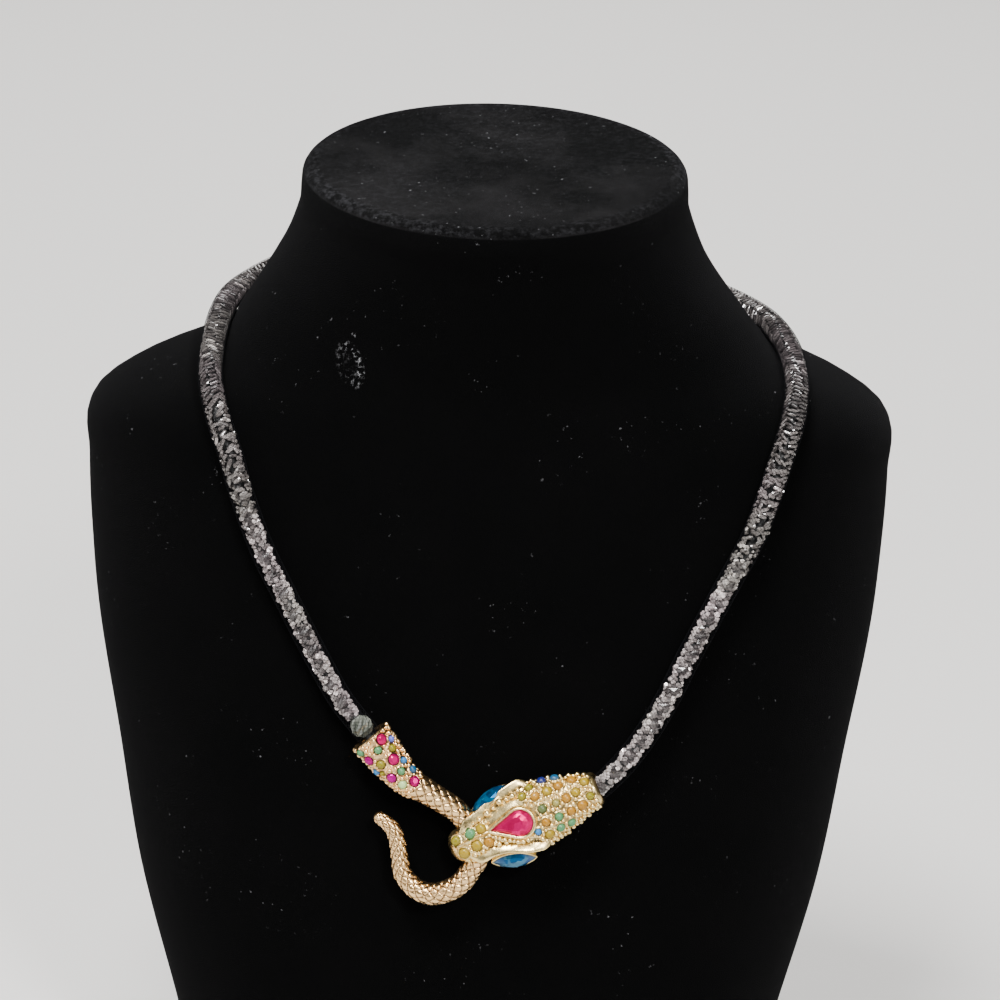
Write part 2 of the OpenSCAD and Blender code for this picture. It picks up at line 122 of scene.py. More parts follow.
def step_up(x, low, high):
    """0 below low and 1 above high. Between them it is three times the square of the way gone, less
    twice its cube."""
    u = np.clip((x - low) / (high - low), 0, 1)
    return u * u * (3 - 2 * u)


def grid_faces(rows, columns):
    """Quads between rows of points that each close on themselves."""
    i, j = np.meshgrid(np.arange(rows - 1), np.arange(columns), indexing="ij")
    a = i * columns + j
    b = i * columns + (j + 1) % columns
    return np.stack([a, b, b + columns, a + columns], -1).reshape(-1, 4)


def closed_grid(points):
    """The points and faces of rows of points, shut at both ends by a fan to the middle of the row."""
    rows, columns = points.shape[:2]
    flat = np.vstack([points.reshape(-1, 3), points[0].mean(0), points[-1].mean(0)])
    j = np.arange(columns)
    k = (j + 1) % columns
    start = np.stack([np.full(columns, rows * columns), k, j], -1)
    end = (rows - 1) * columns
    finish = np.stack([np.full(columns, rows * columns + 1), end + j, end + k], -1)
    return flat, [grid_faces(rows, columns), start, finish]


def circle(count):
    """Equal steps round one turn."""
    return np.linspace(0, 2 * math.pi, count + 1)[:-1]


# Rings go up the neck, over the disc's rounded edge, and in to the middle of the disc.
disc_edge = 2.6
disc_radius = 42
bend = np.linspace(0, math.pi / 2, 6)[1:]
edge_level = bust_height - disc_edge
wall_levels = np.append(np.linspace(0, 246, 112), np.linspace(247.5, edge_level, 7))
levels = np.concatenate([wall_levels, edge_level + disc_edge * np.sin(bend), np.full(8, bust_height)])
shrinks = np.concatenate([np.ones(len(wall_levels)), 1 - disc_edge / disc_radius * (1 - np.cos(bend)),
                          np.linspace(0.9, 0.06, 8)])
around = circle(180)
bust_grid = bust_point(around[None, :], levels[:, None], shrinks[:, None])
# Above the necklace, whose level leans with the neck, the padding at the sides is a little fuller.
necklace_level = 214 - 2.45 * np.cos(around) + 5.8 * np.sin(around)
above = levels[:, None] - necklace_level
fuller = (1.45 + 0.35 * np.cos(around)) * np.cos(around) ** 4
fuller = fuller * step_up(above, -0.5, 3.5) * (1 - step_up(above, 9, 24))
bust_grid[..., 0] += fuller * np.sign(np.cos(around))
bust_points, bust_faces = closed_grid(bust_grid)

# The rub mark is 1 on the disc's rounded edge, 0.3 on the disc and 0 below it.
rub_rows = np.where(shrinks > 0.93, 1.0 * (shrinks < 0.995), 0.3)
disc_rub = np.append(np.repeat(rub_rows, len(around)), [0, 0])


# Every material is made the same way: fixed numbers on the shader's own sockets, and sums of
# nodes for what changes over a surface.
class Sum:
    """The output of a node. Each sum, difference or product of it adds one Math node."""

    def __init__(self, finish, socket):
        self.finish = finish
        self.socket = socket

    def maths(self, operation, first, second):
        return self.finish.node("Math", {"operation": operation}, {0: first, 1: second})

    def __add__(self, other):
        return self.maths("ADD", self, other)

    def __sub__(self, other):
        return self.maths("SUBTRACT", self, other)

    def __rsub__(self, other):
        return self.maths("SUBTRACT", other, self)

    def __mul__(self, other):
        return self.maths("MULTIPLY", self, other)

    __radd__ = __add__
    __rmul__ = __mul__


class Finish:
    """A material. The fixed values of its shader's sockets come first, and node() adds the rest."""

    def __init__(self, name, fixed):
        self.material = bpy.data.materials.new(name)
        self.material.use_nodes = True
        self.tree = self.material.node_tree
        self.shader = self.tree.nodes["Principled BSDF"]
        for socket, value in fixed.items():
            self.shader.inputs[socket].default_value = value

    def plug(self, value, socket):
        """Puts a number, a colour or another node's output into a socket."""
        if isinstance(value, Sum):
            self.tree.links.new(value.socket, socket)
        else:
            socket.default_value = value

    def node(self, kind, settings, values, out=0):
        """Adds a node of that kind, with its settings first and then its sockets. Returns one output."""
        node = self.tree.nodes.new("ShaderNode" + kind)
        for name, value in settings.items():
            if name == "stops":
                for k, (place, level) in enumerate(value):
                    stop = node.color_ramp.elements[k] if k < 2 else node.color_ramp.elements.new(place)
                    stop.position = place
                    stop.color = (level, level, level, 1)
            else:
                setattr(node, name, value)
        for name, value in values.items():
            self.plug(value, node.inputs[name])
        return Sum(self, node.outputs[out])

    def place(self):
        return self.node("TexCoord", {}, {}, "Object")

    def mark(self, name, out="Fac"):
        """A value or colour that the mesh carries at each of its points."""
        return self.node("Attribute", {"attribute_name": name}, {}, out)

    def noise(self, scale, detail=3.0, rough=0.5):
        """Noise from 0 to 1. Scale counts its lumps in a metre."""
        return self.node("TexNoise", {}, {"Vector": self.place(), "Scale": scale, "Detail": detail,
                                          "Roughness": rough})

    def ramp(self, value, *stops):
        """A value turned into another one through stops of (value, result)."""
        return self.node("ValToRGB", {"stops": stops}, {"Fac": value})

    def mix(self, share, first, second):
        """A colour between two others."""
        return self.node("Mix", {"data_type": "RGBA"}, {0: share, 6: first, 7: second}, 2)

    def relief(self, height, depth, strength):
        """A bump. Depth is in metres."""
        return self.node("Bump", {}, {"Height": height, "Distance": depth, "Strength": strength})

    def show(self, **varying):
        """Sends varying values to the shader's sockets."""
        for name, value in varying.items():
            self.plug(value, self.shader.inputs[name.replace("_", " ")])
        return self


velvet = Finish("black_velvet", {"Roughness": 1.0, "Specular IOR Level": 0.02, "Sheen Weight": 0.014,
                                 "Sheen Roughness": 0.4, "Sheen Tint": (0.8, 0.8, 0.85, 1)})
pile = velvet.noise(5200, 2.0, 0.7)
nap = velvet.noise(38, 3.0, 0.6)
dark = velvet.mix(nap, (0.0008, 0.0009, 0.0009, 1), (0.0018, 0.0017, 0.0018, 1))
disc = velvet.ramp(velvet.mark("edge"), (0.0, 0.0), (0.3, 1.0))
within = velvet.ramp(velvet.mark("edge"), (0.0, 0.0), (0.3, 1.0), (0.9, 0.4))
smudge = within * velvet.ramp(velvet.noise(24, 4.0, 0.65), (0.42, 0.0), (0.62, 1.0))
dark = velvet.mix(smudge, dark, (0.0072, 0.0069, 0.0072, 1))
lint_patches = disc * 0.6 + velvet.ramp(velvet.noise(60, 2.0), (0.52, 0.0), (0.64, 1.0))
lint = velvet.ramp(velvet.noise(900, 2.0, 0.6), (0.70, 0.0), (0.76, 1.0)) * lint_patches
# A ring on the left of the chest, taller than wide and leaning, where the pile is rubbed away.
ring_middle = (-0.0327, -0.0212, 0.2155)
ring_axes = ((400, 0, 115), (-66, 0, 230))
from_ring = velvet.node("VectorMath", {"operation": "SUBTRACT"}, {0: velvet.place(), 1: ring_middle})
ring_across, ring_along = (velvet.node("VectorMath", {"operation": "DOT_PRODUCT"}, {0: from_ring, 1: axis}, 1)
                           for axis in ring_axes)
ring = velvet.ramp((ring_across * ring_across + ring_along * ring_along) * 0.4,
                   (0.12, 0.08), (0.34, 1.0), (0.5, 1.0), (0.8, 0.0))
ring_side = velvet.ramp(ring_across * 0.25 + 0.5, (0.3, 0.16), (0.7, 1.0))
worn = ring * ring_side * velvet.ramp(velvet.noise(900, 3.0, 0.7), (0.53, 0.0), (0.66, 1.0))
fluff = velvet.ramp(velvet.noise(700, 4.0, 0.75), (0.46, 0.0), (0.72, 1.0))
fluff = velvet.mark("edge") * fluff * velvet.ramp(velvet.noise(30, 2.0), (0.35, 0.2), (0.6, 1.0))
cover = velvet.mix(fluff * 0.42, dark, (0.055, 0.055, 0.06, 1))
cover = velvet.mix(lint * 0.4, cover, (0.22, 0.22, 0.23, 1))
cover = velvet.mix(worn, cover, (0.25, 0.25, 0.26, 1))
velvet.show(Base_Color=cover, Normal=velvet.relief(pile, 0.0004, 0.8))


def piece(name, points, faces, finish, smooth=True, marks=None):
    """Makes an object from points in millimetres and lists of faces. Marks are values or colours
    that its points carry for its material."""
    mesh = bpy.data.meshes.new(name)
    corners = np.concatenate([np.asarray(f).ravel() for f in faces]).astype(np.int32)
    sizes = np.concatenate([np.full(len(f), np.asarray(f).shape[1]) for f in faces])
    mesh.vertices.add(len(points))
    mesh.vertices.foreach_set("co", (np.asarray(points) / 1000).astype(np.float32).ravel())
    mesh.loops.add(len(corners))
    mesh.loops.foreach_set("vertex_index", corners)
    mesh.polygons.add(len(sizes))
    mesh.polygons.foreach_set("loop_start", (np.cumsum(sizes) - sizes).astype(np.int32))
    mesh.polygons.foreach_set("use_smooth", np.full(len(sizes), smooth))
    mesh.update(calc_edges=True)
    for mark, values in (marks or {}).items():
        values = np.asarray(values, np.float32)
        colour = values.ndim == 2
        layer = mesh.attributes.new(mark, "FLOAT_COLOR" if colour else "FLOAT", "POINT")
        layer.data.foreach_set("color" if colour else "value", values.ravel())
    mesh.materials.append(finish.material)
    made = bpy.data.objects.new(name, mesh)
    bpy.context.scene.collection.objects.link(made)
    return made


bust = piece("velvet_bust", bust_points, bust_faces, velvet, marks={"edge": disc_rub})
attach(bust, "root")
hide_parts("neck_bust")


# Net tube
# A knitted net sleeve of black thread, 6 mm wide, packed with small faceted crystals. It runs
# from the tail's collar round the back of the neck to the head.
tube_radius = 3.0
tube_tuck = 3.8
TAIL = np.array([
    # across, up, out, radius
    [-24.1, 36.7, -0.9, 4.75], [-19.8, 31.5, -0.6, 4.2], [-15.3, 26.7, -0.2, 3.3], [-10.2, 23.7, 0, 2.7],
    [-4.3, 20.1, 0, 2.45], [-1.6, 17.4, 0, 2.4], [0.9, 14.3, 0, 2.35], [2.3, 10.9, 0, 2.3],
    [1.9, 7.8, 0, 2.25], [0.7, 5.7, 0, 2.25], [-1.8, 1.9, 0, 2.3], [-5.1, -0.4, 0, 2.35],
    [-9.1, -1.3, 0, 2.3], [-12.9, 0.1, 0, 2.2], [-15.8, 3.5, 0, 1.95], [-16.7, 7.7, 0, 1.75],
    [-17.4, 11.9, 0, 1.7], [-18.8, 15, 0, 1.55], [-22, 17.6, 0, 1.1]])
ROUTE = np.array([
    # angle about the neck (270 is the front), level, distance of the tube's middle from the velvet
    [255.2, 138.9, 4.2], [252.1, 148, 3.7], [247, 163.4, 3.6], [243.7, 173.3, 3.6], [240.5, 184.5, 3.6],
    [237.7, 194, 3.6], [230.8, 201.2, 3.5], [219, 206.7, 3.4], [205.1, 210.3, 3.35], [192, 213.7, 3.35],
    [180.7, 216.2, 3.3], [169.5, 217.3, 3.3], [157.9, 218.3, 3.3], [147.1, 219.9, 3.35], [135.5, 221.3, 3.4],
    [121.1, 222.4, 3.5], [104.6, 222.9, 3.6], [89, 222.5, 3.6], [73.5, 221.2, 3.6], [57.2, 219.2, 3.5],
    [41, 216.2, 3.4], [27.4, 213.8, 3.35], [15.9, 212.6, 3.3], [4.3, 211.7, 3.35], [-5.7, 210.4, 3.35],
    [-18, 208.8, 3.35], [-31.2, 206.1, 3.4], [-43.4, 201.2, 3.5], [-51.1, 194.4, 3.6], [-53.9, 186.1, 3.6],
    [-56.9, 176.3, 3.6], [-61, 165.4, 3.6], [-65.8, 151.3, 3.6], [-69.1, 139.6, 3.7], [-71.7, 131.8, 4],
    [-74.5, 125.3, 4.7]])
head_end = np.array([38.2, 0, -1.4])

# The tube ends in the clasp, whose head and tail lie together on one plane that leans with the chest.
clasp_x = -2
clasp_height = 94
clasp_stand = 5.2
clasp_lean = math.radians(8)
clasp_out = np.array([0, -math.cos(clasp_lean), math.sin(clasp_lean)])
clasp_up = np.array([0, math.sin(clasp_lean), math.cos(clasp_lean)])
# The clasp's middle stands off the velvet at its own level: that ring's rounded square gives the depth.
chest = smooth_rows(BUST, np.array([clasp_height / bust_height]))[0]
chest_y = half_depth * (chest[2] - chest[3] * (1 - (abs(clasp_x) / (chest[1] * half_width)) ** chest[4])
                        ** (1 / chest[4]))
clasp_origin = np.array([clasp_x, chest_y, clasp_height]) + clasp_stand * clasp_out
clasp_axes = np.array([[1, 0, 0], clasp_up, clasp_out])
head_turn = math.radians(25)
head_roll = math.radians(13)
head_tip = np.array([-4.6, 9.9, 0])


def rolled(angle):
    """The matrix that rolls points, as rows, back about their first direction."""
    c, s = math.cos(angle), math.sin(angle)
    return np.array([[1, 0, 0], [0, c, -s], [0, s, c]])


def swung(angle):
    """The matrix that swings points, as rows, anticlockwise about their third direction."""
    c, s = math.cos(angle), math.sin(angle)
    return np.array([[c, s, 0], [-s, c, 0], [0, 0, 1]])


head_axes = rolled(head_roll) @ swung(head_turn)


def curve_at(points, t):
    """A smooth curve through points, where t counts them: the cubic whose slope at each point is
    half the way from the point before it to the point after it."""
    points = np.asarray(points, float)
    ends = np.vstack([2 * points[0] - points[1], points, 2 * points[-1] - points[-2]])
    i = np.clip(np.floor(t).astype(int), 0, len(points) - 2)
    u = (t - i)[..., None]
    a, b, c, d = (ends[i + k] for k in range(4))
    return 0.5 * (2 * b + (c - a) * u + (2 * a - 5 * b + 4 * c - d) * u ** 2
                  + (3 * b - a - 3 * c + d) * u ** 3)


def run_along(points):
    """How far each point of a line is from its start."""
    return np.concatenate([[0], np.cumsum(np.linalg.norm(np.diff(points, axis=0), axis=1))])


def from_clasp(p):
    """Takes points from the clasp's plane, as across, up and out, to the bust's frame."""
    return clasp_origin + p @ clasp_axes


def from_head(p):
    """Takes points from the head's frame, with the snout at 0, to the bust's."""
    return from_clasp(head_tip + p @ head_axes)


tail_out = -unit(curve_at(TAIL, np.array([0.04])) - curve_at(TAIL, np.array([-0.04])))[0, :3]
tail_out = tail_out / np.linalg.norm(tail_out)
lead = np.array([[-tube_tuck], [0], [3.4]])
route_angle = np.radians(ROUTE[:, 0])
route_out = bust_normal(route_angle, ROUTE[:, 1])
tube_axis = np.vstack([
    from_clasp(TAIL[0, :3] + lead * tail_out),
    bust_point(route_angle, ROUTE[:, 1]) + ROUTE[:, 2:] * route_out,
    from_head(head_end + np.array([[0.0, 0, 0], [-tube_tuck, 0, 0]]))])
tube_up = np.vstack([np.tile(clasp_out, (3, 1)), route_out, np.tile(clasp_out, (2, 1))])
fine = np.linspace(0, len(tube_axis) - 1, 6000)
run = run_along(curve_at(tube_axis, fine))
tube_length = run[-1]


def tube_frame(distance):
    """Middle, outward and sideways directions of the tube at distances along it."""
    t = np.interp(distance, run, fine)
    middle = curve_at(tube_axis, t)
    way = unit(curve_at(tube_axis, t + 0.02) - curve_at(tube_axis, t - 0.02))
    side = unit(np.cross(way, curve_at(tube_up, t)))
    return middle, np.cross(side, way), side


def spoke(angle, first, second):
    """The direction at an angle from the first direction towards the second."""
    return np.cos(angle)[..., None] * first + np.sin(angle)[..., None] * second


def tube_point(distance, angle, radius):
    middle, out, side = tube_frame(distance)
    return middle + np.asarray(radius)[..., None] * spoke(angle, out, side)


# Threads: two sets of spirals, one each way, each a fine three-sided thread.
threads = 14
thread_radius = 0.038
spiral = 0.5
thread_step = 0.5
thread_weave = 0.03
beat = np.linspace(0, tube_length, int(tube_length / thread_step))
middle, out, side = tube_frame(beat)
corner = circle(3)
thread_points = []
thread_faces = []
strand_faces = grid_faces(len(beat), len(corner))
for hand in (-1, 1):
    for k in range(threads):
        angle = 2 * math.pi * (k + 0.25 * hand) / threads + hand * spiral * beat
        radial = spoke(angle, out, side)
        line = middle + (tube_radius - thread_radius - thread_weave + thread_weave * hand) * radial
        way = unit(np.gradient(line, axis=0))
        binormal = np.cross(way, radial)
        ring = line[:, None] + thread_radius * spoke(corner, radial[:, None], binormal[:, None])
        thread_faces.append(strand_faces + len(thread_points) * ring.shape[0] * ring.shape[1])
        thread_points.append(ring.reshape(-1, 3))
thread = Finish("black_thread", {"Roughness": 0.8, "Specular IOR Level": 0.08})
thread.show(Base_Color=thread.mix(thread.noise(2500), (0.002, 0.002, 0.003, 1), (0.006, 0.006, 0.007, 1)))
net = piece("net_threads", np.vstack(thread_points), [np.vstack(thread_faces)], thread)
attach(net, "root")
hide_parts("mesh_tube")


def face_outwards(made):
    """Turns every face of closed surfaces outwards."""
    work = bmesh.new()
    work.from_mesh(made.data)
    bmesh.ops.recalc_face_normals(work, faces=work.faces)
    work.to_mesh(made.data)
    work.free()


# Seam: a flat strip of the same net, closely knitted, along the side that lies on the velvet.
seam_at = np.linspace(0.2, tube_length - 0.2, 430)
seam_angle = np.radians(np.append(np.linspace(148, 212, 8), np.linspace(212, 148, 8)))
seam_reach = tube_radius - np.repeat([0.08, 0.2], 8)
seam_points, seam_faces = closed_grid(tube_point(seam_at[:, None], seam_angle, seam_reach))
seam = piece("net_seam", seam_points, seam_faces, thread)
face_outwards(seam)
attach(seam, "root")


def copies(points, faces, places, turns, sizes):
    """One small solid repeated: each copy is turned by its own matrix, scaled and put in its place."""
    count = len(places)
    moved = np.einsum("kab,nb->kna", turns, points) * np.reshape(sizes, (count, 1, 1)) + places[:, None, :]
    shift = (np.arange(count) * len(points))[:, None, None]
    return moved.reshape(-1, 3), [(np.asarray(f)[None] + shift).reshape(-1, np.shape(f)[1]) for f in faces]


def near_clasp(distance):
    """1 within 60 mm of either end of the tube, 0 from 76 mm on, and a smooth step between them."""
    return step_up(-distance, -76, -60) + step_up(distance, tube_length - 76, tube_length - 60)


def joined(parts):
    """Several closed surfaces as one list of points and one of faces."""
    points, faces, shift = [], [], 0
    for some, lists in parts:
        points.append(some)
        faces += [np.asarray(f) + shift for f in lists]
        shift += len(some)
    return np.vstack(points), faces


# Crystals: long eight-sided stones with a flat top and a ridged back. Along the upper part they lie
# across the tube like slats in columns that lean by turns, and towards the clasp they fall in lumps.
rng = np.random.default_rng(7)
eight = np.array([[1, 0.42], [0.62, 1], [-0.62, 1], [-1, 0.42],
                  [-1, -0.42], [-0.62, -1], [0.62, -1], [1, -0.42]])
crystal_points = np.vstack([
    np.column_stack([eight * [0.62, 0.45], np.full(8, 0.62)]),
    np.column_stack([eight, np.full(8, 0.12)]),
    [[0.5, 0, -0.75], [-0.5, 0, -0.75]]])
j = np.arange(8)
k = (j + 1) % 8
keel = np.array([16, 17, 17, 17, 17, 17, 16, 16])
crystal_faces = [np.array([[0, 1, 2, 3], [0, 3, 4, 7], [4, 5, 6, 7]]),
                 np.vstack([np.stack([j, 8 + j, 8 + k], -1), np.stack([j, 8 + k, k], -1),
                            np.stack([8 + j, keel, 8 + k], -1), [[9, 16, 17], [14, 17, 16]]])]

# Nearer the clasp the slats lie looser and looser, and then give way to the lumps.
per_ring = 7
ring_gap = 1.1
slat_slant = 0.34
slat_depth = 0.6
slat_reach = 2.26
rings = int((tube_length - 4) / ring_gap)
ring_at = 2 + ring_gap * np.arange(rings)
tumble = 0.5 * (step_up(-ring_at, -102, -80) + step_up(ring_at, tube_length - 108, tube_length - 85))
loose = np.repeat(tumble, per_ring)
column = np.tile(np.arange(per_ring), rings)
count = len(column)
distance = (np.repeat(ring_at, per_ring) + 0.5 * ring_gap * (column % 2)
            + (0.05 + 0.4 * loose) * rng.normal(0, 1, count))
angle = (2 * math.pi * column / per_ring + 0.5 * np.sin(distance / 11) + 0.25 * np.sin(distance / 4.7)
         + (0.06 + 0.5 * loose) * rng.normal(0, 1, count))
kept = rng.random(count) > np.repeat(near_clasp(ring_at), per_ring)
loose, column, distance, angle = loose[kept], column[kept], distance[kept], angle[kept]
count = len(column)
middle, out, side = tube_frame(distance)
radial = spoke(angle, out, side)
along = unit(np.cross(side, out))
tilt = unit(radial + 0.2 * along + (0.1 + 0.5 * loose)[:, None] * rng.normal(0, 1, radial.shape))
slant = slat_slant * np.where(column % 2 == 0, 1, -1) + rng.normal(0, 0.08, count)
across = np.cross(along, radial) + slant[:, None] * along
across = across + (0.05 + 0.7 * loose)[:, None] * rng.normal(0, 1, radial.shape)
first = unit(across - np.sum(across * tilt, -1, keepdims=True) * tilt)
length = rng.uniform(1.15, 1.35, count) * (1 - 0.3 * loose)
breadth = rng.uniform(0.3, 0.38, count) * (1 + 0.9 * loose)
turns = np.stack([length[:, None] * first, breadth[:, None] * np.cross(tilt, first), slat_depth * tilt], -1)
places = middle + (slat_reach - 0.2 * loose)[:, None] * radial
slats = copies(crystal_points, crystal_faces, places, turns, np.ones(count))
# Each slat has its own grey, lighter where the slats lie loose, and about one in thirty is much lighter as a
# painted glint.
slat_tone_and_glints = rng.normal(0.085, 0.05, count) + 0.19 * loose + 0.45 * (rng.random(count) > 0.97)
slat_tone_and_glints = np.clip(slat_tone_and_glints, 0.02, 1)

# Towards the clasp, small round lumps crowd round the rims of bigger, darker round stones. The stones'
# near black is painted shade for the dark middle of a clear bead, and the lumps carry its painted bright rim.
stones_at = np.concatenate([9.4 + np.cumsum(rng.uniform(4.0, 5.4, 13)),
                            tube_length + 0.6 - np.cumsum(rng.uniform(4.0, 5.4, 14))])
ball_turn = circle(9)
ball_up = np.radians([-62, -30, 0, 30, 62])


def ball_rings(swing, up):
    """Rings of a ball of radius 1: places round each ring, and the rings' angles above its middle."""
    level = np.repeat(np.sin(up)[:, None], swing.shape[-1], 1)
    return np.stack([np.cos(up)[:, None] * np.cos(swing), np.cos(up)[:, None] * np.sin(swing), level], -1)


def faceted_ball(turn, up):
    """A ball of flat facets in rings, each ring turned a little against the one below it."""
    return closed_grid(ball_rings(turn + 0.35 * np.arange(len(up))[:, None], up))


ball_points, ball_faces = faceted_ball(ball_turn, ball_up)
middle, out, side = tube_frame(stones_at)
places = middle + rng.normal(0, 0.12, middle.shape)
turns = np.stack([side, out, np.cross(side, out)], -1)
balls = copies(ball_points, ball_faces, places, turns, rng.uniform(1.85, 2.05, len(stones_at)))
# Painted shade: the round stones are near black, as the dark middle of a clear bead.
ball_painted_shade = np.clip(rng.normal(0.07, 0.06, len(balls[0])), 0, 0.3)
# Lumps: rings of eight, every other ring turned by half a step, and none over a round stone's middle.
lump_gap = 1.12
lumps_round = 8
lump_rings = np.concatenate([np.arange(10.4, 76, lump_gap),
                             np.arange(tube_length - 76, tube_length - 1.4, lump_gap)])
lump_at = np.repeat(lump_rings, lumps_round)
count = len(lump_at)
ring_number, lump_number = np.divmod(np.arange(count), lumps_round)
lump_angle = 2 * math.pi * (lump_number + 0.5 * (ring_number % 2)) / lumps_round
lump_at = lump_at + rng.normal(0, 0.22, count)
lump_angle = lump_angle + rng.normal(0, 0.15, count)
off = np.min(np.abs(lump_at[:, None] - stones_at), axis=1) / 2.1
kept = (np.hypot(off, np.sin(lump_angle)) > 0.62) & (rng.random(count) < near_clasp(lump_at))
lump_at, lump_angle = lump_at[kept], lump_angle[kept]
count = len(lump_at)
middle, out, side = tube_frame(lump_at)
radial = spoke(lump_angle, out, side)
tilt = unit(radial + rng.normal(0, 0.5, radial.shape))
first = unit(np.cross(tilt, rng.normal(0, 1, radial.shape)))
turns = np.stack([first, np.cross(tilt, first), tilt], -1)
lump_points, lump_faces = faceted_ball(ball_turn[::2] * 0.9, np.radians([-50, 0, 50]))
reach = rng.normal(1.72, 0.08, count) - 0.42 * np.minimum(off[kept], 1.1) ** 2
places = middle + reach[:, None] * radial
lumps = copies(lump_points, lump_faces, places, turns, rng.uniform(0.5, 0.88, count))
# Painted light: lumps towards the tube's sides are lighter, as a clear bead's bright rim, and about one in
# seventeen is made white as a painted glint. The rest of the spread is each lump's own grey.
lump_tone_and_painted_light = 0.11 + 0.46 * np.abs(np.sin(lump_angle)) ** 1.5 + rng.normal(0, 0.17, count)
lump_tone_and_painted_light = np.clip(lump_tone_and_painted_light + (rng.random(count) > 0.94), 0.05, 1)

# Each crystal's own grey, with the painted glints, painted bright rims and painted dark middles from above.
tone_and_painted_light = np.concatenate([np.repeat(slat_tone_and_glints, len(crystal_points)), ball_painted_shade,
                       np.repeat(lump_tone_and_painted_light, len(lump_points))])
glass = Finish("clear_crystal", {"Roughness": 0.16, "Metallic": 0.15, "Specular IOR Level": 0.8,
                                 "Coat Weight": 0.3, "Coat Roughness": 0.06})
haze = glass.noise(45, 2.0)
glass_tint = glass.mix(glass.ramp(haze, (0.4, 0.0), (0.6, 1.0)), (0.86, 0.73, 0.74, 1), (0.82, 0.76, 0.70, 1))
glass.show(Base_Color=glass.mix(glass.mark("tone_and_painted_light"), (0.020, 0.016, 0.017, 1), glass_tint))
points, faces = joined([slats, balls, lumps])
crystals = piece("net_crystals", points, faces, glass, smooth=False, marks={"tone_and_painted_light": tone_and_painted_light})
face_outwards(crystals)
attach(crystals, "root")

# One big round crystal fills the sleeve where it meets the collar. Its dark middle and lighter rim are
# painted shade and painted light.
big_at = 7.1
big_radius = 2.75
middle, out, side = tube_frame(np.array([big_at]))
big_axes = np.vstack([side, out, np.cross(side, out)])
big_glass = Finish("big_crystal", {"Roughness": 0.14, "Specular IOR Level": 0.8, "Coat Weight": 0.4,
                               "Coat Roughness": 0.05})
big_glass.show(Base_Color=big_glass.mix(big_glass.mark("rim"), (0.02, 0.026, 0.018, 1), (0.20, 0.21, 0.18, 1)))
rim = np.clip(1.15 - 1.3 * ball_points[:, 1] ** 2 + rng.normal(0, 0.2, len(ball_points)), 0, 1) ** 1.5
big = piece("big_crystal", middle + big_radius * ball_points @ big_axes, ball_faces, big_glass, smooth=False,
            marks={"rim": rim})
face_outwards(big)
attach(big, "root")

# Core: the crystals deeper in, seen only between the outer ones as a near-black sleeve of painted shade with
# faint lighter flecks.
core_radius = 1.2
core_at = np.linspace(0.4, tube_length - 0.4, 420)
core_points, core_faces = closed_grid(tube_point(core_at[:, None], circle(12)[::-1], core_radius))
deep = Finish("core_crystal_painted_shade", {"Roughness": 0.5, "Specular IOR Level": 0.2})
deep.show(Base_Color=deep.mix(deep.ramp(deep.noise(900, 2.0), (0.42, 0.0), (0.66, 1.0)),
                              (0.002, 0.002, 0.002, 1), (0.05, 0.05, 0.05, 1)))
core = piece("crystal_core", core_points, core_faces, deep)
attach(core, "root")


# Snake head
# Cast in one piece and plated in pale gold: a long flat head with a rounded brow over each eye, a
# raised bezel for the pear stone, a sunk seat for every domed stone, and a passage for the tail.
HEAD = np.array([
    # distance from the snout, half width, crown, depth below, height of the axis, squareness
    [0.0, 1.2, 1.0, 0.8, 0.3, 2.2], [0.8, 3.0, 2.6, 2.6, 0.2, 2.4], [2.5, 4.0, 4.0, 4.0, 0.0, 2.8],
    [6.0, 4.6, 4.7, 4.3, 0.0, 3.0], [9.5, 5.2, 5.0, 4.3, 0.0, 2.8], [13.0, 6.4, 5.3, 4.2, 0.0, 2.4],
    [17.0, 7.5, 5.5, 4.1, 0.0, 2.3], [21.0, 7.9, 5.4, 4.1, 0.0, 2.2], [25.0, 7.4, 5.1, 4.1, -0.2, 2.1],
    [29.0, 6.4, 4.8, 4.1, -0.6, 2.0], [33.0, 5.1, 4.5, 4.1, -1.0, 2.0], [36.5, 4.2, 4.2, 4.1, -1.3, 2.0],
    [38.2, 4.1, 4.1, 4.0, -1.4, 2.0]])
HEAD_STONES = np.array([
    # distance from the snout, angle round from the upper side, diameter
    [2.4, 74, 2.3], [3.1, 110, 2.6], [6.3, 76, 2.4], [9.1, 75, 2.3], [6.7, 99, 2.5], [9.7, 102, 2.3],
    [20.9, 51, 1.9], [23.8, 59, 2.1], [26.8, 55, 2.3], [29.6, 48, 2.1], [32.9, 36, 2.2], [35.6, 53, 2.1],
    [23.1, 35, 1.8], [26.3, 20, 2.2], [29.3, 16, 2.2], [32.9, 76, 2.1], [35.7, 102, 1.8], [30.4, 82, 2.1],
    [33.2, 116, 2.4], [24.3, 85, 2.0], [27.8, 84, 1.7], [30.3, 114, 2.0], [27.2, 111, 1.9],
    [23.9, 108, 2.0], [21.3, 117, 1.6], [23.5, 134, 2.2], [26.5, 135, 2.0], [29.2, 141, 2.0]])
BROWS = {
    # middle line of each brow: distance from the snout, angle round from the upper side
    1: np.array([[4.6, 45], [8, 38], [11.5, 31], [15, 25], [18.5, 20], [22.5, 15]]),
    -1: np.array([[4.6, 146], [7.4, 141], [9.5, 131], [11.8, 128], [14, 130], [16.2, 136], [18.4, 143],
                  [22.5, 152]])}
SNOUT_RIDGES = np.array([[[2.4, 90], [6.4, 89]], [[6.9, 86], [11.3, 87]]])
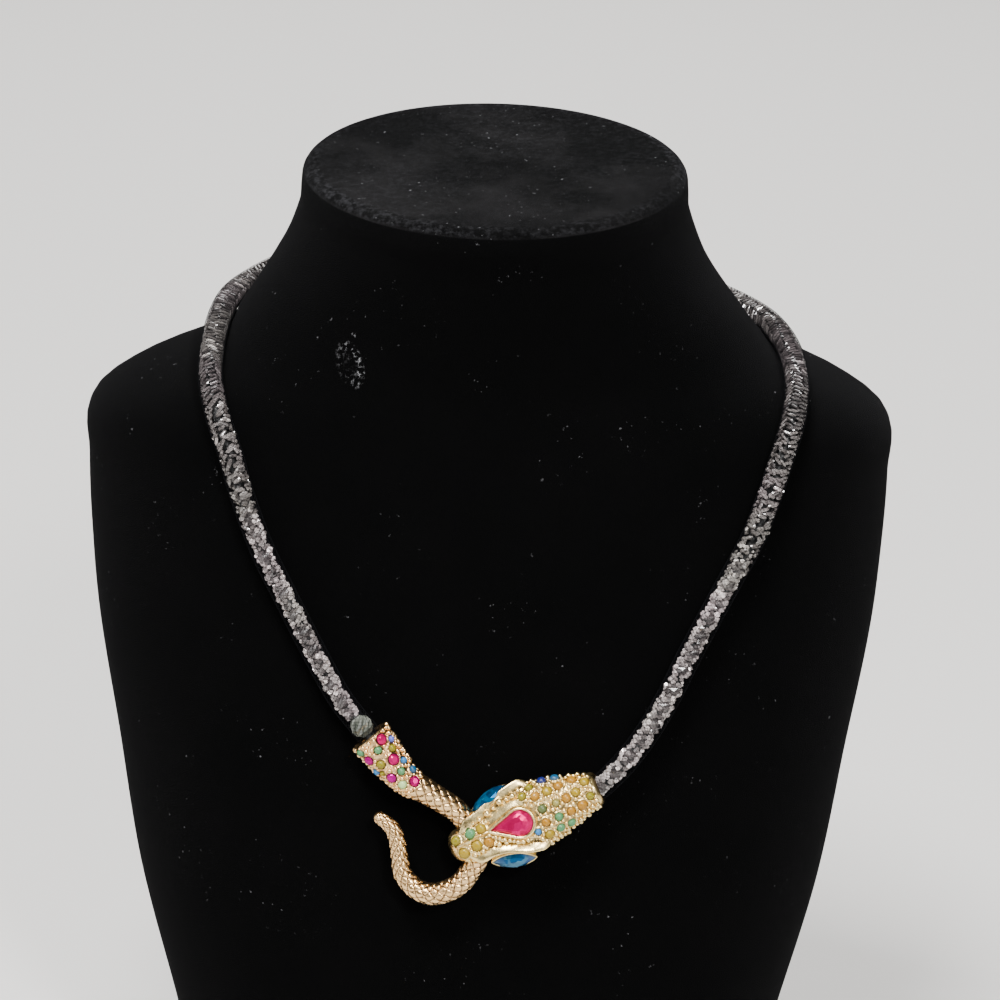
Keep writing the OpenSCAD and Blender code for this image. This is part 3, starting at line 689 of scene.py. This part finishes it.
BROW_BEADS = np.array([
    # distance from the snout, angle, radius
    [7.9, 52, 0.5], [9.7, 50, 0.65], [11.9, 47, 0.92], [10.9, 66, 0.5], [13.7, 44, 0.6], [15.6, 39, 0.92],
    [17.3, 42, 0.55], [18.9, 42, 0.82], [20.5, 36, 0.6], [18.6, 122, 0.8]])
pear_length, pear_width = 10, 6
pear_at = np.array([16.3, 0, 5.9])
pear_turn = math.radians(-8)
eye_length, eye_width = 10, 5
eye_yaw = math.radians(15)
EYES = {"eye_upper": (1, np.array([13.2, 7.6, 1.0]), math.radians(26)),
        "eye_lower": (-1, np.array([13.2, 7.9, 1.6]), math.radians(38))}


def head_point(distance, angle):
    """A point of the plain head: each section is a rounded square with a crown and a chin."""
    row = smooth_rows(HEAD, distance)
    tall = np.where(np.sin(angle) > 0, row[..., 2], row[..., 3])
    return np.stack([distance, row[..., 1] * lobe(np.cos(angle), row[..., 5]),
                     row[..., 4] + tall * lobe(np.sin(angle), row[..., 5])], -1)


def head_normal(distance, angle):
    """The direction out of the plain head, square to its section and to its length."""
    across = head_point(distance, angle + 0.03) - head_point(distance, angle - 0.03)
    along = head_point(distance + 0.2, angle) - head_point(np.maximum(distance - 0.2, 0), angle)
    return unit(np.cross(across, along))


def nearest(points, spots, radii=0.0):
    """The distance from each point to the edge of the nearest ball round a spot. It is negative
    inside one."""
    least = np.full(points.shape[:-1], 1e9)
    for spot, radius in zip(spots, np.broadcast_to(radii, len(spots))):
        least = np.minimum(least, np.linalg.norm(points - spot, axis=-1) - radius)
    return least


def seat_relief(gap):
    """Height of the metal round a set stone: a low rolled collar, and a sunk floor inside it."""
    return 0.24 * np.exp(-((gap - 0.22) / 0.17) ** 2) - 0.6 * (1 - step_up(gap, -0.14, 0.04))


def sunk(height, reach):
    """How far each place of a grid lies under the mean of the places round it."""
    mean = sum(np.roll(height, shift, axis=1) for shift in range(-reach, reach + 1)) / (2 * reach + 1)
    padded = np.pad(mean, ((reach, reach), (0, 0)), "edge")
    mean = sum(padded[shift:shift + len(height)] for shift in range(2 * reach + 1)) / (2 * reach + 1)
    return mean - height


def navette_outline(length, width, count=24):
    """Two equal arcs that meet in points, with the direction out of each place. At a point the
    direction turns from one arc's to the other's."""
    radius = (length ** 2 + width ** 2) / (4 * width)
    half = math.asin(length / 2 / radius)
    t = np.linspace(half, -half, count)
    top = np.stack([radius * np.sin(t), radius * np.cos(t) - radius + width / 2], -1)
    top_out = np.stack([np.sin(t), np.cos(t)], -1)
    swing = np.linspace(math.pi / 2 + half, 3 * math.pi / 2 - half, 7)[1:-1]
    left = np.tile([[-length / 2, 0]], (5, 1))
    left_out = np.stack([np.cos(swing), np.sin(swing)], -1)
    place = np.vstack([top, left, -top, -left])
    return place, np.vstack([top_out, left_out, -top_out, -left_out])


def pear_outline(length, width, count=40):
    """A round end and two straight sides that meet in a point, with the direction out of each place."""
    radius = width / 2
    wide = math.pi - math.acos(radius / (length - radius))
    t = np.linspace(-wide, wide, count)
    out = np.stack([np.cos(t), np.sin(t)], -1)
    middle = np.array([length / 2 - radius, 0])
    tip = np.array([-length / 2, 0])
    side = np.linspace(0, 1, 11)[1:-1, None]
    upper = (middle + radius * out[-1]) * (1 - side) + tip * side
    swing = np.linspace(wide, 2 * math.pi - wide, 7)
    return (np.vstack([middle + radius * out, upper, np.tile(tip, (7, 1)), upper[::-1] * [1, -1]]),
            np.vstack([out, np.tile(out[-1], (9, 1)), np.stack([np.cos(swing), np.sin(swing)], -1),
                       np.tile(out[0], (9, 1))]))


def around_outline(outline, profile):
    """A closed surface whose rows follow an outline: each row stands off it and at a height."""
    place, out = outline
    return closed_grid(np.stack([np.column_stack([place + off * out, np.full(len(place), height)])
                                 for off, height in profile]))


def on_eye(name, p):
    """Takes points from an eye's own plane to the head's frame."""
    hand, middle, tilt = EYES[name]
    return (middle + p @ rolled(math.pi / 2 - tilt) @ swung(eye_yaw)) * [1, hand, 1]


def on_forehead(p):
    """Takes points from the pear stone's own plane to the head's frame."""
    return pear_at + p @ swung(pear_turn)


def set_in_head(name, profile):
    """A closed surface that follows a cut stone's outline, at the stone's place."""
    if name in EYES:
        points, faces = around_outline(eye_outline, profile)
        return from_head(on_eye(name, points)), faces
    points, faces = around_outline((pear_edge, pear_out), profile)
    return from_head(on_forehead(points)), faces


def carve(made, cutters):
    """Cuts the cutters' shapes out of a piece, and deletes them."""
    for cutter in cutters:
        face_outwards(cutter)
        cut = made.modifiers.new(cutter.name, "BOOLEAN")
        cut.operation = "DIFFERENCE"
        cut.solver = "MANIFOLD"
        cut.object = cutter
    mesh = bpy.data.meshes.new_from_object(made.evaluated_get(bpy.context.evaluated_depsgraph_get()))
    made.modifiers.clear()
    made.data = mesh
    for cutter in cutters:
        bpy.data.objects.remove(cutter)


def tail_frame(t):
    """Middle, sideways and outward directions, and radius of the tail at stations along it."""
    here = curve_at(TAIL, t)
    way = unit((curve_at(TAIL, t + 0.04) - curve_at(TAIL, t - 0.04))[..., :3])
    side = unit(np.cross([0, 0, 1], way))
    return here[..., :3], side, np.cross(way, side), here[..., 3]


def tail_point(t, angle, rise=0.0):
    middle, side, out, radius = tail_frame(t)
    return middle + np.asarray(radius + rise)[..., None] * spoke(angle, side, out)


def gilt(name, bright, tarnish_and_shade):
    """Gold plate over a casting: bright on raised metal, with cloudy patches of tarnish, darkened by painted
    shade in the hollows, and faintly pitted.
    """
    plate = Finish(name, {"Metallic": 1.0, "Specular IOR Level": 0.5})
    cloud = plate.noise(420, 3.0, 0.6)
    darkening = plate.mark("painted_shade") * 0.95 + plate.ramp(cloud, (0.45, 0.0), (0.8, 0.25))
    pits = plate.noise(3200, 3.0, 0.6) * 0.3 + plate.noise(700, 2.0, 0.5) * 0.6
    plate.show(Base_Color=plate.mix(darkening, bright, tarnish_and_shade),
               Roughness=plate.ramp(cloud, (0.3, 0.20), (0.75, 0.36)),
               Normal=plate.relief(pits, 0.0001, 0.6))
    return plate


def granules(places, outs, radii):
    """Cast beads: low balls with half of each sunk in the metal."""
    points, faces = closed_grid(ball_rings(circle(12), np.linspace(-math.pi / 2, math.pi / 2, 8)[1:-1]))
    points[-2:] = [[0, 0, -1], [0, 0, 1]]
    turns = np.tile(np.eye(3), (len(places), 1, 1))
    return copies(points, faces, places + 0.12 * radii[:, None] * outs, turns, radii)


def shuffled_places(along, degrees, stray, stray_angle):
    """Places on a grid of distances and angles, each moved a little at random, in a random order."""
    at, angle = np.meshgrid(along, np.radians(degrees), indexing="ij")
    at = (at + rng.normal(0, stray, at.shape)).ravel()
    angle = (angle + rng.normal(0, stray_angle, angle.shape)).ravel()
    order = rng.permutation(len(at))
    return at[order], angle[order]


def pick_granules(places, radii, keep, reach):
    """Takes places one by one where each keeps clear of the ones already taken."""
    taken = []
    for k in np.flatnonzero(keep):
        if all(np.linalg.norm(places[k] - places[m]) > reach * (radii[k] + radii[m]) for m in taken):
            taken.append(k)
    return np.array(taken)


# Relief: a collar round each seat, a brow over each eye with a groove inside it, two ridges on the
# snout, a sunk field between the brows, and a rim that thins where the neck ends.
stone_places = head_point(HEAD_STONES[:, 0], np.radians(HEAD_STONES[:, 1]))
eye_outline = navette_outline(eye_length, eye_width)
pear_edge, pear_out = pear_outline(pear_length, pear_width)
pear_spots = on_forehead(np.column_stack([pear_edge, np.full(len(pear_edge), -0.4)]))
lengths = np.concatenate([np.linspace(0, 1, 12) ** 1.6, np.linspace(1.16, head_end[0], 214)])
along_head, round_head = np.meshgrid(lengths, circle(256), indexing="ij")
plain = head_point(along_head, round_head)
outward = head_normal(along_head, round_head)
gap = nearest(plain, stone_places, HEAD_STONES[:, 2] / 2)
relief = seat_relief(gap)
brow_width = 0.68
brow_height = 1.1
brow = np.zeros(along_head.shape)
brow_spots = []
for hand, rows in BROWS.items():
    way = curve_at(rows, np.linspace(0, len(rows) - 1, 240))
    line = head_point(way[:, 0], np.radians(way[:, 1]))
    brow_spots.append(line)
    off = nearest(plain, line)
    ends = step_up(along_head, 3.2, 6.5) * (1 - step_up(along_head, 20.5, 24.5))
    inner = hand * plain[..., 1] < np.interp(along_head, line[:, 0], hand * line[:, 1])
    brow = brow + hand * ends * np.exp(-(off / brow_width) ** 2.2)
    groove = 0.3 * np.exp(-((off - 1.6) / 0.24) ** 2) - 0.4 * np.exp(-((off - 1.1) / 0.26) ** 2)
    relief = relief + ends * inner * groove
brow_spots = np.vstack(brow_spots)
relief = relief + brow_height * np.abs(brow)
ridge_width = 0.42
ridge_height = 0.95
ridge_way = SNOUT_RIDGES[:, :1] + (SNOUT_RIDGES[:, 1:] - SNOUT_RIDGES[:, :1]) * np.linspace(0, 1, 24)[:, None]
ridge_spots = head_point(ridge_way[..., 0].ravel(), np.radians(ridge_way[..., 1].ravel()))
relief = relief + ridge_height * np.exp(-(nearest(plain, ridge_spots) / ridge_width) ** 2)
relief = relief - 0.8 * np.clip((along_head - 37) / 1.2, 0, 1) ** 2
channel = (np.abs(plain[..., 1]) < 6.2) & (outward[..., 2] > 0.4)
channel = channel * step_up(along_head, 8, 11) * (1 - step_up(along_head, 19.5, 21))
relief = relief - 0.3 * channel * (1 - np.abs(brow))
# Painted shade: the metal is darkened where it lies below its surroundings, right round each stone, and all
# over the back of the head where the domes crowd.
painted_shade = (2.2 * sunk(relief, 5) + 0.6 * np.exp(-(np.maximum(gap, 0) / 0.3) ** 2)
          + 0.6 * step_up(along_head, 19.5, 21.5))
painted_shade = np.append(np.clip(painted_shade, 0, 1).ravel(), [0, 0])
shell_points, shell_faces = closed_grid(plain + relief[..., None] * outward + brow[..., None] * [0, 0.75, 0])
pale_gilt = gilt("pale_gilt", (0.96, 0.74, 0.34, 1), (0.16, 0.09, 0.026, 1))
head = piece("head_casting_gilt", from_head(shell_points), shell_faces, pale_gilt, marks={"painted_shade": painted_shade})
face_outwards(head)

# Openings: the tail's passage, a pocket for each cut stone, and the socket for the tube. A pocket's
# rows, like those of the cups below, give the distance out from the stone's edge and the height.
passage_room = 0.68
points, faces = closed_grid(tail_point(np.linspace(4, 9, 60)[:, None], circle(32), passage_room))
cutters = [piece("passage", from_clasp(points), faces, pale_gilt)]
for name, depth in (("eye_upper", 1.2), ("eye_lower", 1.2), ("pear", 1.05)):
    points, faces = set_in_head(name, [(0.12, -depth), (0.12, 4)])
    cutters.append(piece(name + "_pocket", points, faces, pale_gilt))
socket_radius = 3.3
socket = socket_radius * spoke(circle(40), np.array([0, 1, 0]), np.array([0, 0, 1]))
points, faces = closed_grid(np.stack([socket + [x, 0, head_end[2]] for x in (34, 43)]))
cutters.append(piece("tube_socket", from_head(points), faces, pale_gilt))
carve(head, cutters)
head.data.set_sharp_from_angle(angle=math.radians(52))
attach(head, "root")
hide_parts("head_casting")

# Bezels and granules: the metal cups round the three cut stones, and cast beads between the domes.
eye_cup = [(0.12, -1.2), (0.12, 0.12), (0.18, 0.22), (0.3, 0.26), (0.42, 0.2), (0.5, 0.05),
           (0.52, -0.2), (0.3, -1.1), (-0.1, -2.0), (-0.9, -3.0)]
pear_cup = [(0.12, -1.05), (0.12, 0.3), (0.2, 0.42), (0.4, 0.48), (0.62, 0.42), (0.8, 0.2),
            (0.92, -0.15), (1.15, -0.8), (0.9, -2.2)]
trim = [set_in_head("eye_upper", eye_cup), set_in_head("eye_lower", eye_cup), set_in_head("pear", pear_cup)]
# A row of granules follows the pear's lower side, some stand along the brows, and the rest are
# tried in a random order and stay where they keep clear of the stones, the brows and each other.
bead_line = pear_edge + 1.42 * pear_out
bead_run = run_along(bead_line)
wanted = np.arange(0.4, bead_run[-1], 1.22)
bead_line = np.stack([np.interp(wanted, bead_run, bead_line[:, k]) for k in (0, 1)], -1)
bead_line = bead_line[(bead_line[:, 1] < -1.2) & (bead_line[:, 0] > -3.6) & (bead_line[:, 0] < 3.2)]
lower_row = on_forehead(np.column_stack([bead_line, np.full(len(bead_line), 0.0)]))
by_hand_out = head_normal(BROW_BEADS[:, 0], np.radians(BROW_BEADS[:, 1]))
by_hand = head_point(BROW_BEADS[:, 0], np.radians(BROW_BEADS[:, 1])) + 0.3 * by_hand_out
row_at, row_angle = shuffled_places(np.arange(1.5, 37, 0.3), np.arange(8, 172, 3.0), 0.1, 0.02)
set_first = len(lower_row) + len(by_hand)
bead_places = np.vstack([lower_row, by_hand, head_point(row_at, row_angle)])
bead_outs = np.vstack([np.tile([[0, 0, 1.0]], (len(lower_row), 1)), by_hand_out,
                       head_normal(row_at, row_angle)])
gap_here = nearest(bead_places, stone_places, HEAD_STONES[:, 2] / 2)
bead_radius = np.clip(gap_here + 0.04, 0, rng.uniform(0.52, 0.74, len(bead_places)))
bead_radius[:len(lower_row)] = 0.56
bead_radius[len(lower_row):set_first] = BROW_BEADS[:, 2]
off_brow = nearest(bead_places, brow_spots)
free = bead_radius > 0.38
free &= (nearest(bead_places, pear_spots) > 0.75 + bead_radius) & (bead_places[:, 0] > 2.6)
inside = (bead_places - pear_at)[:, 0]
free &= ~((np.abs(inside) < 5) & (nearest(bead_places, [pear_at]) < 3.4))
free &= (bead_places[:, 0] > 21.5) | (off_brow > 0.8 + 0.5 * bead_radius)
free &= nearest(bead_places, ridge_spots) > 0.2 + bead_radius
free &= (bead_places[:, 0] < 36.8) & (bead_outs[:, 2] > -0.1)
free &= (bead_places[:, 0] > 20.5) | (bead_places[:, 1] < 0) & (bead_places[:, 1] > -4.6)
free[:set_first] = True
taken = pick_granules(bead_places, bead_radius, free, 0.86)
points, faces = granules(bead_places[taken], bead_outs[taken], bead_radius[taken])
trim.append((from_head(points), faces))
points, faces = joined(trim)
trims = piece("head_bezels_and_granules", points, faces, pale_gilt, marks={"painted_shade": np.zeros(len(points))})
face_outwards(trims)
trims.data.set_sharp_from_angle(angle=math.radians(60))
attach(trims, "root")


# Tail
# Cast like the head, in a rosier plate: a flared collar set with stones takes the tube's end, and
# the scaled hook curls back through the head. Each scale's free end points to the collar.
TAIL_STONES = np.array([
    # station on the tail, angle round from the left side, diameter
    [0.44, 29, 1.6], [0.7, 46, 1.8], [0.43, 85, 1.8], [0.17, 138, 1.9], [1.32, 38, 1.6], [0.9, 108, 2.1],
    [1.04, 147, 1.7], [1.84, 26, 1.9], [1.56, 70, 1.8], [1.94, 104, 2.1], [1.2, 127, 1.2]])
TAIL_RHINESTONES = np.array([[0.21, 57, 2.5], [0.55, 132, 2.3], [1.05, 65, 2.6], [1.52, 114, 2.3],
                             [2.25, 62, 2.4]])
scale_pitch = 1.22
scale_columns = 12
scales_from = 2.05
t_fine = np.linspace(0, len(TAIL) - 1, 2400)
t_run = run_along(curve_at(TAIL, t_fine)[:, :3])


def scale_height(distance, angle):
    """Height of diamond scales, and how near a place is to the line between two. Rows and columns
    turned by an eighth of a turn give square cells, and each cell holds a pillow that is higher
    at the end that looks to the collar."""
    row = distance / scale_pitch
    column = angle / (2 * math.pi) * scale_columns
    first = (row + column) / 2
    second = (row - column) / 2
    a = first - np.round(first)
    b = second - np.round(second)
    pillow = np.sqrt(np.maximum(1 - np.abs(2 * a) ** 3, 0) * np.maximum(1 - np.abs(2 * b) ** 3, 0))
    seam = np.exp(-((0.5 - np.maximum(np.abs(a), np.abs(b))) / 0.075) ** 2)
    return pillow * (0.42 - 0.2 * (a + b)) - 0.08, seam


# The surface goes out of the collar's mouth, along the scaled tail and over its rounded tip.
tail_rows = np.linspace(0, t_run[-1], 520)
tail_t = np.interp(tail_rows, t_run, t_fine)
tail_around = circle(120)
run_t, run_a = np.meshgrid(tail_t, tail_around, indexing="ij")
set_stones = np.vstack([TAIL_STONES, TAIL_RHINESTONES])
set_places = tail_point(set_stones[:, 0], np.radians(set_stones[:, 1]))
surface = tail_point(run_t, run_a)
gap = nearest(surface, set_places, set_stones[:, 2] / 2)
scale_run = np.interp(run_t, t_fine, t_run) - np.interp(scales_from, t_fine, t_run)
scaled, scale_seam = scale_height(scale_run, run_a)
share = step_up(scale_run, -0.5, 0.3) * step_up(gap, 0.2, 0.7)
lift = scaled * share + seat_relief(gap) * (run_t < 3)
outer = tail_point(run_t, run_a, lift)
bow = np.linspace(0, math.pi / 2, 7)[1:]
end_middle, end_side, end_out, end_radius = tail_frame(np.array([len(TAIL) - 1.0]))
end_way = unit(np.cross(end_side, end_out))[0]
end_ring = spoke(tail_around, end_side, end_out)
tip = np.stack([end_middle + end_radius * (math.cos(b) * end_ring + 0.8 * math.sin(b) * end_way)
                for b in bow[:-1]])
mouth_middle, mouth_side, mouth_out, mouth_radius = tail_frame(np.array([0.0]))
mouth_ring = spoke(tail_around, mouth_side, mouth_out)
half = (mouth_radius[0] - socket_radius) / 2
roll = np.linspace(math.pi, 0, 9)
mouth = [(socket_radius, -depth) for depth in (4.2, 2.8, 1.4, 0.4)]
mouth += [(socket_radius + half + half * math.cos(b), 0.55 * math.sin(b)) for b in roll[:-1]]
inner = np.stack([mouth_middle + reach * mouth_ring + height * tail_out for reach, height in mouth])
tail_points, tail_faces = closed_grid(np.concatenate([inner, outer, tip]))
# Painted shade: inside the collar's mouth, right round the collar's stones, and along the lines between the
# scales.
darkening = np.concatenate([np.full((len(mouth), len(tail_around)), 0.4),
                       np.where(run_t < scales_from, np.exp(-(np.maximum(gap, 0) / 0.35) ** 2),
                                scale_seam),
                       np.zeros((len(tip), len(tail_around)))])
rose_gilt = gilt("rose_gilt", (0.95, 0.63, 0.30, 1), (0.08, 0.03, 0.01, 1))
tail = piece("tail_hook_gilt", from_clasp(tail_points), tail_faces, rose_gilt,
             marks={"painted_shade": np.append(darkening.ravel(), [0, 0])})
face_outwards(tail)
tail.data.set_sharp_from_angle(angle=math.radians(60))
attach(tail, "root")
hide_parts("tail_hook")

# Granules: cast beads between the collar's stones.
bead_t, bead_angle = shuffled_places(np.arange(0.02, 2.4, 0.055), np.arange(-10, 190, 5), 0.02, 0.03)
bead_t = bead_t.clip(0, 3)
bead_places = tail_point(bead_t, bead_angle)
gap_here = nearest(bead_places, set_places, set_stones[:, 2] / 2)
bead_radius = np.clip(gap_here + 0.04, 0, rng.uniform(0.48, 0.68, len(bead_t)))
taken = pick_granules(bead_places, bead_radius, bead_radius > 0.34, 0.88)
middle, side, out, _ = tail_frame(bead_t[taken])
points, faces = granules(bead_places[taken], spoke(bead_angle[taken], side, out), bead_radius[taken])
beads = piece("collar_granules", from_clasp(points), faces, rose_gilt,
              marks={"painted_shade": np.zeros(len(points))})
face_outwards(beads)
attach(beads, "root")


# Domed stones
# Small opaque glass domes with a soft, slightly milky shine, each darkened towards its edge with painted
# shade. Those on the head are mostly amber and olive, and those on the collar mint, with single ones in blue.
def dye(red, green, blue):
    """A colour given in 0 to 255, as shares of light. A share under 0.04045 is divided by 12.92. Any
    other has 0.055 added, is divided by 1.055, and is raised to the power 2.4."""
    share = np.array([red, green, blue]) / 255
    return np.append(np.where(share < 0.04045, share / 12.92, ((share + 0.055) / 1.055) ** 2.4), 1)


amber, olive, mint = dye(146, 120, 0), dye(122, 112, 0), dye(66, 124, 80)
orange, peach, sage = dye(154, 104, 0), dye(158, 108, 0), dye(74, 88, 48)
navy, teal, sky, pearl = dye(2, 20, 96), dye(0, 72, 112), dye(20, 108, 170), dye(136, 128, 66)
head_dyes = [olive, amber, mint, amber, amber, orange, olive, peach, amber, orange, orange, amber, olive,
             navy, teal, amber, olive, orange, orange, sage, pearl, orange, mint, orange, sky, amber, mint,
             mint]
tail_dyes = [dye(70, 84, 190), olive, mint, mint, sky, olive, sky, teal, mint, dye(170, 200, 130), olive]
stone_sink = 0.45


def domes(places, outs, diameters, dyes):
    """Domes of one height on flat backs: from a straight side over to a round top."""
    columns, rows, crown = 24, 10, 1.3
    u = np.linspace(0, 1, rows) * math.pi / 2
    points, faces, colours, shaded_rim = [], [], [], []
    for place, out, diameter, colour in zip(places, outs, diameters, dyes):
        across = unit(np.cross(out, [0.3, 0.9, 0.2]))
        reach = 1.07 * diameter / 2 * np.cos(u[:-1]) ** 0.7
        height = crown * np.sin(u[:-1]) ** 0.9 - stone_sink
        ring = spoke(circle(columns), across, np.cross(out, across))
        some, lists = closed_grid(place + reach[:, None, None] * ring + height[:, None, None] * out)
        some[-1] = place + (crown - stone_sink) * out
        points.append((some, lists))
        colours.append(np.tile(colour, (len(some), 1)))
        shaded_rim.append(np.append(np.repeat(np.linspace(1, 0, rows - 1), columns), [1, 0]))
    return joined(points) + (np.vstack(colours), np.concatenate(shaded_rim))


dome = Finish("domed_glass", {"Specular IOR Level": 0.35, "Coat Weight": 0.1, "Coat Roughness": 0.1})
veil = dome.noise(1400, 2.0, 0.5)
body = dome.mix(dome.ramp(veil, (0.4, 0.0), (0.85, 0.1)), dome.mark("dye", "Color"), (0.50, 0.45, 0.20, 1))
# Painted shade: each dome darkens towards its edge, where it meets the seat.
dome.show(Base_Color=dome.mix(dome.mark("rim") * 0.7, body, (0.07, 0.08, 0.06, 1)),
          Roughness=dome.ramp(veil, (0.3, 0.22), (0.8, 0.42)))
outs = head_normal(HEAD_STONES[:, 0], np.radians(HEAD_STONES[:, 1]))
points, faces, colours, shaded_rim = domes(stone_places, outs, HEAD_STONES[:, 2], head_dyes)
head_domes = piece("head_domes", from_head(points), faces, dome, marks={"dye": colours, "rim": shaded_rim ** 3})
middle, side, out, _ = tail_frame(TAIL_STONES[:, 0])
outs = spoke(np.radians(TAIL_STONES[:, 1]), side, out)
points, faces, colours, shaded_rim = domes(set_places[:len(TAIL_STONES)], outs, TAIL_STONES[:, 2], tail_dyes)
tail_domes = piece("tail_domes", from_clasp(points), faces, dome, marks={"dye": colours, "rim": shaded_rim ** 3})
for made, node in ((head_domes, "head_cabochons"), (tail_domes, "tail_cabochons")):
    face_outwards(made)
    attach(made, "root")
    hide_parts(node)


# Cut stones
# Foil-backed glass with a flat top: a hot pink pear on the forehead, a blue boat shape for each
# eye, of which the lower is made paler with a painted reflection, and five round pink stones on the collar.
def brilliant(edge, back, crown, table=0.52, shoulder=0.8, girdle=0.22):
    """Facets between an even number of places on the stone's edge, a flat top and a flat back.
    Kites run from the top to the edge, with triangles beside them."""
    count = len(edge)
    half = count // 2
    main, between = edge[0::2], edge[1::2]
    flat = np.vstack([0.7 * edge, edge, edge, shoulder * main, table * between])
    heights = np.concatenate([np.full(count, -back), np.zeros(count), np.full(count, girdle),
                              np.full(half, girdle + 0.62 * (crown - girdle)), np.full(half, crown)])
    points = np.column_stack([flat, heights])
    i = np.arange(count)
    nxt = (i + 1) % count
    j = np.arange(half)
    before = (j - 1) % half
    low, mid, high, shoulders, top = 0, count, 2 * count, 3 * count, 3 * count + half
    sides = np.vstack([np.stack([low + i, low + nxt, mid + nxt, mid + i], -1),
                       np.stack([mid + i, mid + nxt, high + nxt, high + i], -1),
                       np.stack([shoulders + j, high + 2 * j + 1, shoulders + (j + 1) % half, top + j], -1)])
    corners = np.vstack([np.stack([top + before, shoulders + j, top + j], -1),
                         np.stack([shoulders + j, high + 2 * j, high + 2 * j + 1], -1),
                         np.stack([shoulders + j, high + (2 * j - 1) % count, high + 2 * j], -1)])
    return points, [sides, corners, (low + i[::-1])[None], (top + j)[None]]


def cut_glass(name, light, deep, second):
    """Foiled glass: each facet catches its own share of light, so patches go from deep to bright."""
    cut = Finish(name, {"Roughness": 0.2, "Specular IOR Level": 0.1, "Coat Weight": 0.06,
                        "Coat Roughness": 0.03, "Metallic": 0.5})
    facet = cut.node("TexVoronoi", {"feature": "F1"}, {"Vector": cut.place(), "Scale": 620.0}, "Color")
    patch = cut.node("SeparateColor", {}, {"Color": facet})
    tint = cut.mix(cut.ramp(patch, (0.2, 0.0), (0.8, 1.0)), deep, light)
    cut.show(Base_Color=cut.mix(cut.mark("end"), tint, second))
    return cut


def cut_stone(name, points, faces, finish, node, end):
    """Makes a cut stone in place of a node. End is each point's share of the second colour."""
    made = piece(name, points, faces, finish, smooth=False, marks={"end": end})
    face_outwards(made)
    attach(made, "root")
    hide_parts(node)


pink = cut_glass("hot_pink_glass", (0.56, 0.0, 0.115, 1), (0.32, 0.0, 0.045, 1), (0.22, 0.0, 0.01, 1))
edge = pear_outline(pear_length, pear_width, 17)[0]
edge = np.vstack([edge[:17], edge[[19, 22, 26, 29, 33]]])
points, faces = brilliant(edge, 0.95, 1.1, 0.55)
cut_stone("pear_stone", from_head(on_forehead(points)), faces, pink, "forehead_stone",
          0.7 * step_up(-points[:, 0], 0.5, 5))
# The eyes are one glass. The upper one's ends take a darker blue as painted shade, and the lower one is paler
# all over and greyer at its ends as a painted reflection.
eye_glass = {"eye_upper": cut_glass("deep_blue_glass", (0.0, 0.10, 0.22, 1), (0.0, 0.04, 0.11, 1),
                                    (0.0, 0.012, 0.065, 1)),
             "eye_lower": cut_glass("blue_glass_painted_reflection", (0.07, 0.20, 0.30, 1), (0.0, 0.06, 0.16, 1),
                                    (0.12, 0.13, 0.22, 1))}
edge = navette_outline(eye_length, eye_width, 10)[0]
edge = np.vstack([edge[:10], edge[15:25]])[[*range(0, 9), *range(10, 19)]]
for name in EYES:
    points, faces = brilliant(edge, 1.1, 1.4, 0.45)
    cut_stone(name + "_stone", from_head(on_eye(name, points)), faces, eye_glass[name], name,
              0.6 * step_up(np.abs(points[:, 0]), 2, 5))
rose = cut_glass("rose_glass", (0.50, 0.0, 0.09, 1), (0.22, 0.0, 0.03, 1), (0.34, 0.0, 0.19, 1))
round_edge = spoke(circle(16), np.array([1, 0]), np.array([0, 1]))
second_shares = [0.1, 0.7, 0.2, 0.9, 0.3]
parts = []
ends = []
middle, side, out, _ = tail_frame(TAIL_RHINESTONES[:, 0])
for k, (_, degrees, diameter) in enumerate(TAIL_RHINESTONES):
    points, faces = brilliant(diameter / 2 * round_edge, 0.5, 0.75)
    angle = math.radians(degrees)
    up = math.cos(angle) * side[k] + math.sin(angle) * out[k]
    first = unit(np.cross(up, [0.2, 0.3, 0.9]))
    place = set_places[len(TAIL_STONES) + k] + 0.1 * up
    parts.append((place + points @ np.array([first, np.cross(up, first), up]), faces))
    ends.append(np.full(len(points), second_shares[k]))
points, faces = joined(parts)
cut_stone("collar_rhinestones", from_clasp(points), faces, rose, "tail_rhinestones", np.concatenate(ends))


# Stage
# A plain pale floor in a dim pale room. A lamp overhead and a smaller one in front give the shine,
# two wide ones at the sides soften it, and the last lights the floor behind.
floor_points = np.array([[-6000.0, -3000, 0], [6000, -3000, 0], [6000, 9000, 0], [-6000, 9000, 0]])
pale = Finish("pale_floor", {"Roughness": 0.9, "Base Color": (0.625, 0.61, 0.59, 1)})
floor = piece("floor", floor_points, [np.array([[0, 1, 2, 3]])], pale)


def lamp(name, place, target, size, power):
    """A square lamp of that size in metres, pointed at a place."""
    light = bpy.data.lights.new(name, "AREA")
    light.size = size
    light.energy = power
    made = bpy.data.objects.new(name, light)
    made.location = place
    made.rotation_euler = (Vector(place) - Vector(target)).to_track_quat("Z", "Y").to_euler()
    bpy.context.scene.collection.objects.link(made)


lamp("ceiling", (-0.25, -0.5, 1.3), (0, 0, 0.15), 0.4, 33)
lamp("window", (0.35, -1.0, 0.95), (0, 0, 0.15), 0.16, 14)
lamp("front_fill", (0.9, -1.3, 0.6), (0, 0, 0.15), 0.9, 4.5)
lamp("left_fill", (-1.2, -0.6, 0.6), (0, 0, 0.15), 0.8, 4.5)
lamp("floor_wash", (0, 1.3, 1.7), (0, 1.3, 0), 1.8, 69)
world = bpy.data.worlds.new("pale_room")
bpy.context.scene.world = world
world.use_nodes = True
background = world.node_tree.nodes["Background"]
background.inputs["Color"].default_value = (0.80, 0.785, 0.76, 1)
background.inputs["Strength"].default_value = 0.16
